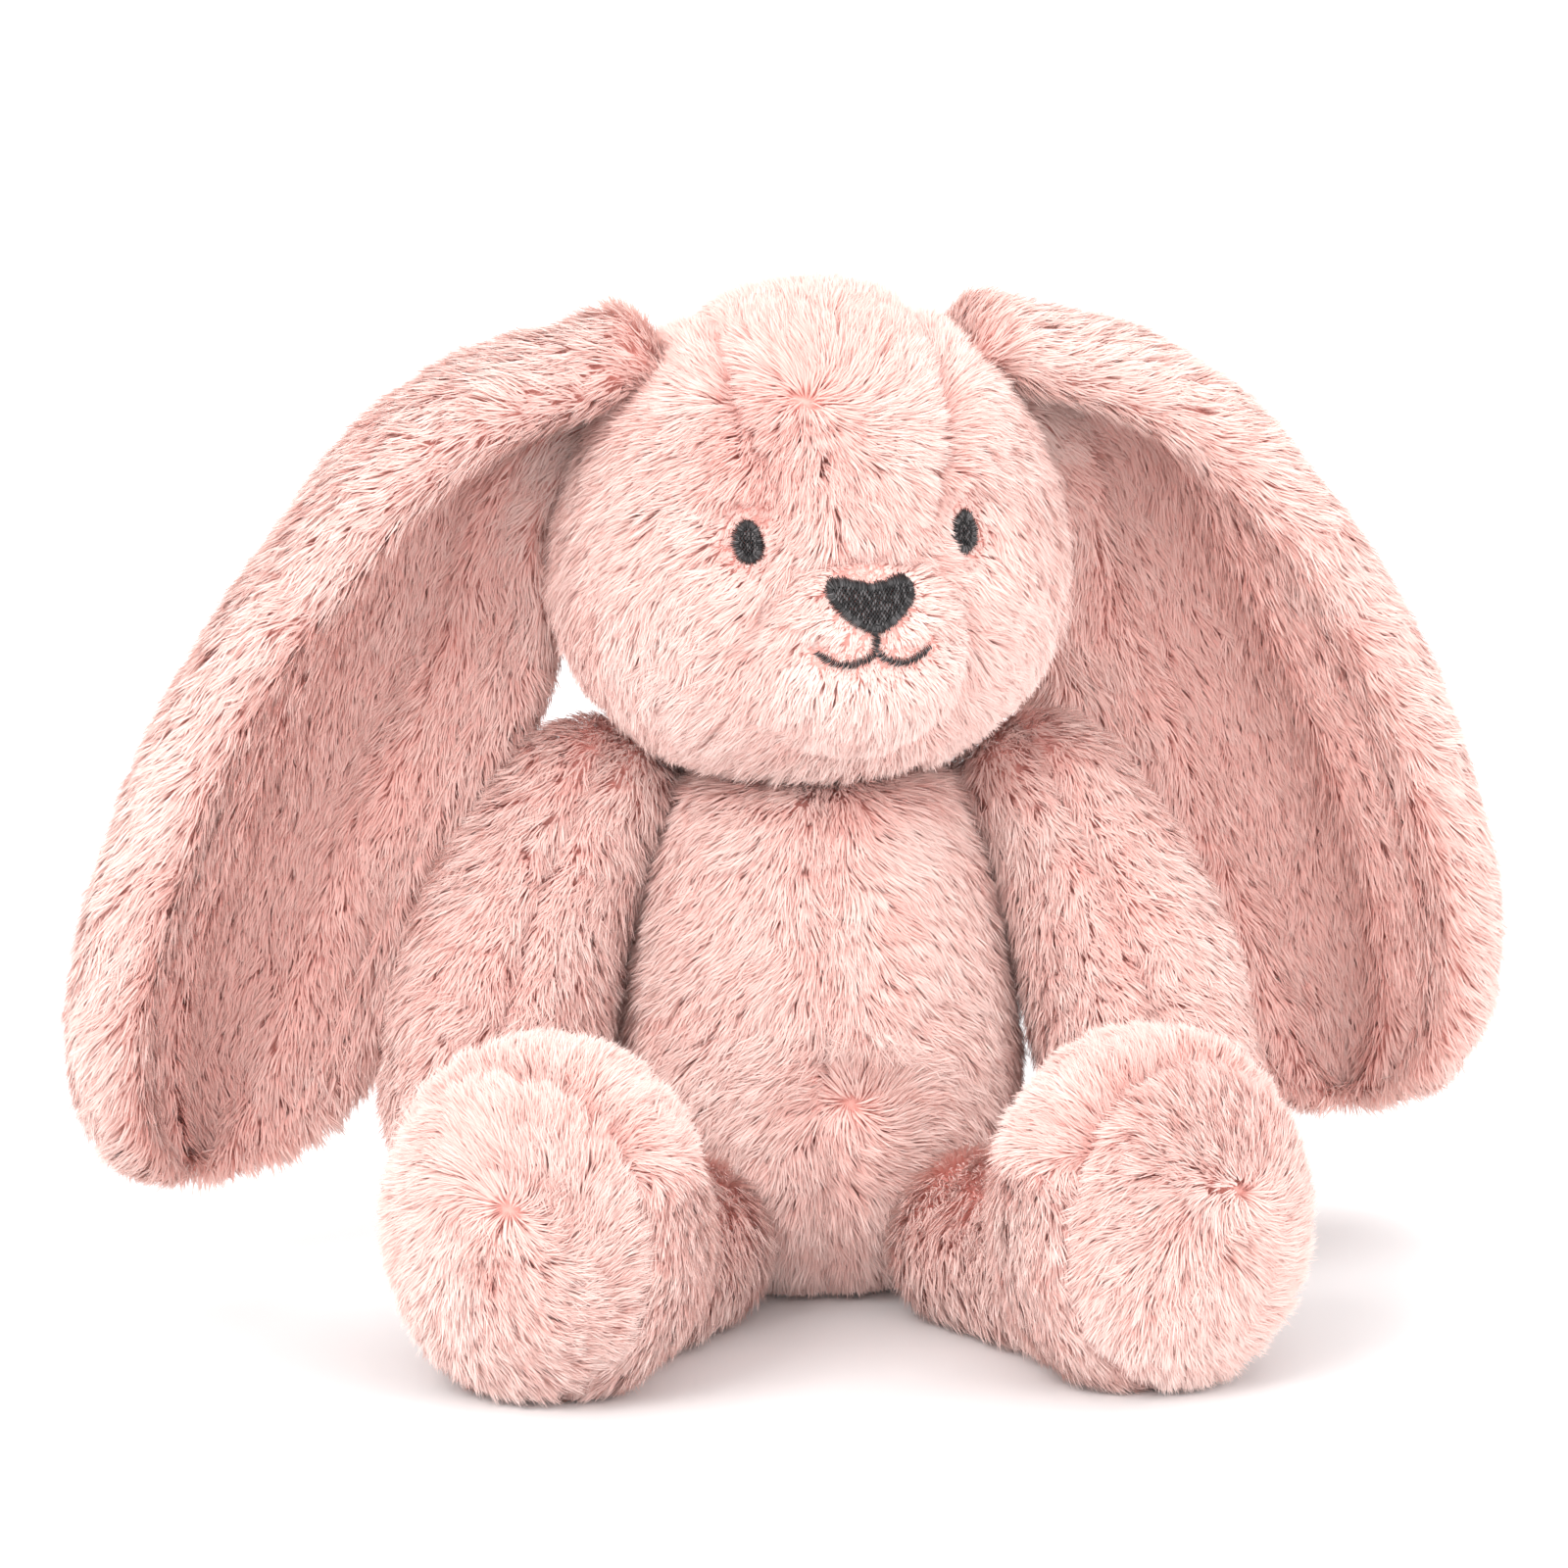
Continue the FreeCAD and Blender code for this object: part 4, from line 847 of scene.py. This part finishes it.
def ear_curve(t):
    """Half-width, shift of its middle across, thickness, curl, arc radius and arc centre at shares t."""
    tip = np.sqrt(1 - np.clip(t, 0, 1) ** 9)
    outer = 0.0030 * ease((t + 0.1) / 0.3) * tip
    inner = (0.0060 + 0.0140 * np.exp(-((t - 0.27) / 0.20) ** 2)) * tip
    half = (EAR_BASE_HALF + (EAR_HALF - EAR_BASE_HALF) * ease(t / EAR_FULL_WIDTH)) * tip + (outer + inner) / 2
    half = np.maximum(half, 0.003) * (1 - 0.12 * ease(-t / EAR_SUNK))
    thick = 0.0034 + 0.34 * half
    curl = np.radians(58 + 14 * (1 - ease(t / 0.4)))
    radius = (half - thick / 2) / np.sin(curl)
    return half, (outer - inner) / 2, thick, curl, radius, -radius * (1 + np.cos(curl)) / 2


def ear_rows(hand, rings=110):
    """Rings of a thick C, open to the front: an arc over the back, a round rim, a lining that swells beside
    each rim and sinks into the hollow, and the other rim. A groove in front of each rim is the edge seam."""
    t = (1 + EAR_SUNK) * (1 - (1 - np.linspace(0, 1, rings)) ** 1.25) - EAR_SUNK
    t = t * 0.9985
    middle, across, back = ear_frame(t)
    _, shift, thick, curl, radius, hub = ear_curve(t)
    middle = middle + across * shift[:, None]
    back_share, rim_share = np.linspace(-1, 1, 36), np.linspace(0, np.pi, 17)[1:-1]
    share = np.concatenate([back_share, np.ones(15), -back_share, -np.ones(15)])
    turn = np.concatenate([np.zeros(36), rim_share, np.full(36, np.pi), rim_share[::-1]])
    front = np.concatenate([np.zeros(36), np.zeros(15), np.ones(36), np.zeros(15)])
    swell = 1 + front * (0.42 * np.exp(-((np.abs(share) - 0.66) / 0.2) ** 2)
                         - 0.35 * np.exp(-(share / 0.35) ** 2))
    seam = (np.exp(-((np.degrees(turn) - 150) / 18) ** 2) * (turn < np.pi - 1e-6)
            + front * np.exp(-((np.abs(share) - 1) / 0.07) ** 2))
    bulge = thick[:, None] / 2 * swell[None, :] * (1 - 0.34 * seam[None, :])
    awning = np.radians(34) * (1 - ease(t / 0.55))[:, None] * ease(share)[None, :]
    angle = curl[:, None] * share[None, :] + awning
    out = radius[:, None] + bulge * np.cos(turn)[None, :]
    aside = bulge * np.sin(turn)[None, :] * np.sign(share)[None, :]
    x = out * np.sin(angle) + aside * np.cos(angle)
    y = out * np.cos(angle) - aside * np.sin(angle) + hub[:, None]
    rows = middle[:, None] + across[:, None] * x[..., None] + back[:, None] * y[..., None]
    return rows * np.array([hand, 1, 1])


def ear_place(point, root, hand):
    """For points on an ear: the middle line's direction, the widthwise direction, the share across (1 at the
    outer edge), and how much the point lies in the hollow.

    Each point takes the nearest of 80 stations on the middle line; the hollow is inside the arc of its C.
    """
    at = (to_head(point) - root) * np.array([hand, 1, 1])
    station = np.linspace(-EAR_SUNK, 1, 80)
    middle, across, back = ear_frame(station)
    half, shift, _, _, radius, hub = ear_curve(station)
    middle = middle + across * shift[:, None]
    gap = (at**2).sum(axis=1)[:, None] - 2 * at @ middle.T + (middle**2).sum(axis=1)[None, :]
    nearest = gap.argmin(axis=1)
    ahead = unit(np.gradient(middle, axis=0))[nearest]
    offset = at - middle[nearest]
    aside = (offset * across[nearest]).sum(axis=1)
    depth = (offset * back[nearest]).sum(axis=1) - hub[nearest]
    inside = ease((radius[nearest] - np.hypot(aside, depth)) / 0.0015)
    aside = aside / half[nearest]
    hollow = inside * np.exp(-(aside / 0.74) ** 4) * ease((station[nearest] - 0.04) / 0.1)
    return ahead, across[nearest], aside, hollow


def ear_comb(root, hand):
    """Along the ear towards its tip, fanning out from the middle to both edges."""
    def comb(point):
        """The direction along the ear plus a share across it that grows towards the edges."""
        ahead, across, aside = ear_place(point, root, hand)[:3]
        flow = (ahead + across * (aside * 0.7)[:, None]) * np.array([hand, 1, 1])
        return from_head(flow) - HEAD_CENTRE
    return comb


def ear_tint(root, hand):
    """Deeper pink down in the hollow of the lining as painted shade, paler near the root as painted light
    against the shadow where the ear meets the head, and paler on the folded edges and the back.
    """
    def tint(point):
        """A shade from how near the point is to the root, painted light, and how deep in the hollow, painted
        shade.
        """
        near = np.exp(-(np.linalg.norm(to_head(point) - root, axis=1) / 0.030) ** 2)
        # The near term is painted light at the root; the hollow term is painted shade in the bowl.
        return 0.20 + 0.30 * near - 0.72 * ear_place(point, root, hand)[3]
    return tint


def ear_height(root, hand):
    """Pile a little shorter down in the hollow."""
    def height(point):
        """A share of the pile's length, from how deep in the hollow the point is."""
        return 1.05 - 0.18 * ear_place(point, root, hand)[3]
    return height


for side, hand in (("left", 1), ("right", -1)):
    ear_root = to_head(np.array([joints[f"ear_{side}_lift"]["pos_m"]]))[0]
    ear_body = f"ear_{side}"
    ear_skin = closed_skin(f"ear_{side}_skin", from_head(ear_rows(hand) + ear_root), ear_body,
                           [f"ear_{side}_back", f"ear_{side}_front", f"ear_{side}_wadding"])
    comb, tint, height = (make(ear_root, hand) for make in (ear_comb, ear_tint, ear_height))
    for part, seed, low, high in (("upper", 41, -1.0, 0.5), ("lower", 42, 0.5, 9.0)):
        def within(point, low=low, high=high):
            """Whether a point's distance from the root, as a share of the ear's length, is in this part."""
            away = np.linalg.norm(to_head(point) - ear_root, axis=1) / EAR_LENGTH
            return (away > low) & (away <= high)
        pile(f"ear_{side}_pile_{part}", ear_skin, ear_body, EAR_BLADES, comb, seed + (hand > 0) * 10,
             where=within, height=height, tint=tint)

# ---------------------------------------------------------------- arms
# Each arm is an outer and an inner panel sewn into a tapered tube, lightly stuffed and set into the side seam
# below the neck, so that it hangs outwards and a little forwards.
ARM_LENGTH, ARM_SHOULDER, ARM_PAW, ARM_BOW = 0.078, 0.0180, 0.0232, 0.0055
ARM_BLADES = 52000
ARM_OUTWARD, ARM_FORWARD = math.radians(21), math.radians(16)


def tube_rows(start, ahead, side, ends, radius_of, bow, seams, rings=70, around=72):
    """Rings round a line that bows aside; radius_of and bow give their radius and shift by distance along."""
    first, last = ends
    mark = np.linspace(0, 1, rings)
    along = first + (last - first) * (0.5 - 0.5 * np.cos(np.pi * np.clip(mark, 0.008, 0.992)))
    radius = radius_of(along)
    over = np.cross(ahead, side)
    turn = np.linspace(0, 2 * np.pi, around, endpoint=False)
    pull = sum(groove(np.abs(np.angle(np.exp(1j * (turn - at))))[None, :] * radius[:, None], 0.003, depth)
               for at, depth in seams)
    ring = np.cos(turn)[:, None] * side + np.sin(turn)[:, None] * over
    line = start + along[:, None] * ahead + bow(along)[:, None] * side
    return line[:, None] + ring[None] * (radius[:, None] - pull)[..., None]


def arm_radius(along):
    """A ball at the shoulder, a straight taper that swells in the middle, and a ball at the paw."""
    swell = 0.0022 * np.sin(np.pi * np.clip(along / ARM_LENGTH, 0, 1))
    taper = ARM_SHOULDER + (ARM_PAW - ARM_SHOULDER) * ease(along / ARM_LENGTH) + swell
    top = np.sqrt(np.clip(1 - (np.clip(along, None, 0) / ARM_SHOULDER) ** 2, 0, 1))
    tip = np.sqrt(np.clip(1 - (np.clip(along - ARM_LENGTH, 0, None) / ARM_PAW) ** 2, 0, 1))
    return taper * top * tip


def arm_bow(along):
    """How far the arm bows outwards: a half sine from just above the shoulder to the paw."""
    return ARM_BOW * np.sin(np.pi * np.clip((along + 0.01) / (ARM_LENGTH + 0.01), 0, 1))


for side, hand in (("left", 1), ("right", -1)):
    shoulder = np.array(joints[f"arm_{side}_raise"]["pos_m"])
    down = np.array([hand * math.sin(ARM_OUTWARD), -math.sin(ARM_FORWARD), 0.0])
    down[2] = -math.sqrt(1 - down @ down)
    out = unit(np.array([hand * 1.0, 0, 0]) - down * (hand * down[0]))
    front = -np.pi / 2 if np.cross(down, out)[1] > 0 else np.pi / 2
    rows = tube_rows(shoulder, down, out, (-ARM_SHOULDER, ARM_LENGTH + ARM_PAW), arm_radius, arm_bow,
                     seams=((front, 0.0028), (-front, 0.0015)))
    arm_skin = closed_skin(f"arm_{side}_skin", rows, f"arm_{side}",
                           [f"arm_{side}_outer", f"arm_{side}_inner", f"arm_{side}_stuffing"])

    def arm_comb(point, down=down, out=out, shoulder=shoulder):
        """Down the arm, and away from its middle line towards both sides."""
        away = (point - shoulder) @ out
        return down + out * np.clip(away / 0.03, -1, 1)[:, None] * 0.55

    def arm_seam(point, out=out, shoulder=shoulder):
        """How near a point is to the seam down the arm's front, 1 on it."""
        return np.exp(-((((point - shoulder) @ out) - 0.004) / 0.0035) ** 2)

    def arm_tint(point, near=arm_seam):
        """Deeper along the seam: painted shade in its crease."""
        return 0.06 - 0.30 * near(point)

    def arm_height(point, near=arm_seam):
        """Pile a little shorter along the seam."""
        return 1 - 0.30 * near(point)
    pile(f"arm_{side}_pile", arm_skin, f"arm_{side}", ARM_BLADES, arm_comb, 61 + (hand > 0),
         height=arm_height, tint=arm_tint, wildness=1.3)

# ---------------------------------------------------------------- legs
# A short leg tube set into the front of the seat, with a large boot-shaped foot: an outer and an inner panel
# and a round sole sewn on by a ring seam. The feet are stuffed firmly and stand on their heels.
LEG_LENGTH, LEG_HIP, LEG_ANKLE = 0.068, 0.0192, 0.0215
FOOT_WIDTH, FOOT_DEPTH, FOOT_TALL, SOLE_SEAM = 0.0362, 0.0290, 0.0408, 0.0130
FOOT_START, LEG_BLADES, FOOT_BLADES = 0.012, 28000, 62000


def leg_rows(hip, ahead, rings=96, around=110):
    """Rings across the leg's line, each the smooth larger of the leg's circle and the foot's ellipse there.

    They are measured out from a centre that climbs from the leg's axis to the foot's, less a groove at the
    sole's seam.
    """
    mark = np.linspace(0, 1, rings)
    first, last = -LEG_HIP, LEG_LENGTH + FOOT_DEPTH
    d = first + (last - first) * (0.5 - 0.5 * np.cos(np.pi * np.clip(mark, 0.012, 0.988)))
    leg = LEG_HIP + (LEG_ANKLE - LEG_HIP) * np.clip(d / LEG_LENGTH, 0, 1)
    hip_end = np.sqrt(np.clip(1 - (np.clip(d, None, 0) / LEG_HIP) ** 2, 0, 1))
    ankle_end = np.sqrt(np.clip(1 - (np.clip(d - LEG_LENGTH, 0, None) / LEG_ANKLE) ** 2, 0, 1))
    leg = leg * hip_end * ankle_end
    foot = np.clip(1 - np.abs((d - LEG_LENGTH) / FOOT_DEPTH) ** 2.3, 0, None) ** (1 / 2.3)
    lift = FOOT_TALL - LEG_HIP
    climb = lift * ease((d - LEG_LENGTH + FOOT_DEPTH) / FOOT_DEPTH)
    leg_level = (LEG_ANKLE - LEG_HIP) * np.clip(d / LEG_LENGTH, 0, 1)
    turn = np.linspace(0, 2 * np.pi, around, endpoint=False)
    c, s = np.cos(turn)[None, :], np.sin(turn)[None, :]
    centre = np.maximum(climb, leg_level)[:, None]

    def ray(drop, wide, tall):
        """Distance out to an ellipse whose centre is drop above the ring's, along every turn."""
        wide, tall = np.maximum(wide, 1e-6)[:, None], np.maximum(tall, 1e-6)[:, None]
        aa = (c / wide) ** 2 + (s / tall) ** 2
        bb = s * drop / tall**2
        cc = (drop / tall) ** 2 - 1
        root = bb**2 - aa * cc
        return np.where(root > 0, (bb + np.sqrt(np.clip(root, 0, None))) / aa, 0)

    on_leg = ray(leg_level[:, None] - centre, leg, leg)
    on_foot = ray(lift - centre, FOOT_WIDTH * foot, FOOT_TALL * foot)
    soft = 0.0018
    radius = (soft * np.logaddexp(on_leg / soft, on_foot / soft)
              - soft * 0.69 * (np.abs(on_leg - on_foot) < soft))
    radius = radius - groove(d - LEG_LENGTH - SOLE_SEAM, 0.0030, 0.0034)[:, None]
    side = np.array([ahead[1], -ahead[0], 0.0])
    return (hip + d[:, None, None] * ahead + (radius * c)[..., None] * side
            + (centre + radius * s)[..., None] * np.array([0, 0, 1.0]))


for side, hand in (("left", 1), ("right", -1)):
    hip = np.array(joints[f"leg_{side}_lift"]["pos_m"])
    axis = joints[f"leg_{side}_lift"]["axis"]
    ahead = unit(np.array([-axis[1], axis[0], 0.0]))
    rows = leg_rows(hip, ahead)
    rows[..., 2] = np.maximum(rows[..., 2], 0.0006)
    leg_nodes = [f"leg_{side}_outer", f"leg_{side}_inner", f"foot_{side}_sole", f"leg_{side}_stuffing"]
    leg_skin = closed_skin(f"leg_{side}_skin", rows, f"leg_{side}", leg_nodes)
    sole_centre = hip + ahead * (LEG_LENGTH + FOOT_DEPTH) + np.array([0, 0, FOOT_TALL - LEG_HIP])

    def leg_comb(point, hip=hip, ahead=ahead, sole_centre=sole_centre):
        """Down and along the leg, back over the foot's top, and in a spiral out from the sole's middle."""
        far = (point - hip) @ ahead
        on_sole = ease((far - LEG_LENGTH - SOLE_SEAM) / 0.004)[:, None]
        outward = point - sole_centre
        centre = np.exp(-(np.linalg.norm(outward, axis=1) / 0.014) ** 2)[:, None]
        spiral = (unit(outward + 0.9 * np.cross(ahead, outward)) * (1 - centre)
                  + np.array([0.3, 0, -1.0]) * centre)
        on_top = ease((point[:, 2] - sole_centre[2] - 0.012) / 0.012)[:, None] * (1 - on_sole)
        return ((ahead * 0.5 + np.array([0, 0, -0.8])) * (1 - on_sole - on_top) - ahead * on_top
                + spiral * on_sole)

    def sole_seam(point, hip=hip, ahead=ahead):
        """How near a point is to the ring seam of the sole, 1 on it."""
        return groove((point - hip) @ ahead - LEG_LENGTH - SOLE_SEAM, 0.0035, 1.0)

    def leg_tint(point, near=sole_seam, centre=sole_centre):
        """Deeper along the sole's seam, painted shade in its groove, and a little at the sole's middle."""
        middle = np.exp(-(np.linalg.norm(point - centre, axis=1) / 0.012) ** 2)
        # The near term is painted shade in the sole seam's groove.
        return 0.08 - 0.26 * near(point) - 0.04 * middle

    def leg_height(point, near=sole_seam):
        """Pile shorter along the sole's seam."""
        return 1 - 0.36 * near(point)
    for part, seed, count, low, high in (("leg", 71, LEG_BLADES, -1.0, LEG_LENGTH - FOOT_START),
                                         ("foot", 72, FOOT_BLADES, LEG_LENGTH - FOOT_START, 1.0)):
        def within(point, low=low, high=high, hip=hip, ahead=ahead):
            """Whether a point's distance along the leg is in this part."""
            far = (point - hip) @ ahead
            return (far > low) & (far <= high)
        pile(f"leg_{side}_pile_{part}", leg_skin, f"leg_{side}", count, leg_comb,
             seed + (hand > 0) * 10, where=within, height=leg_height, tint=leg_tint, wildness=1.2)
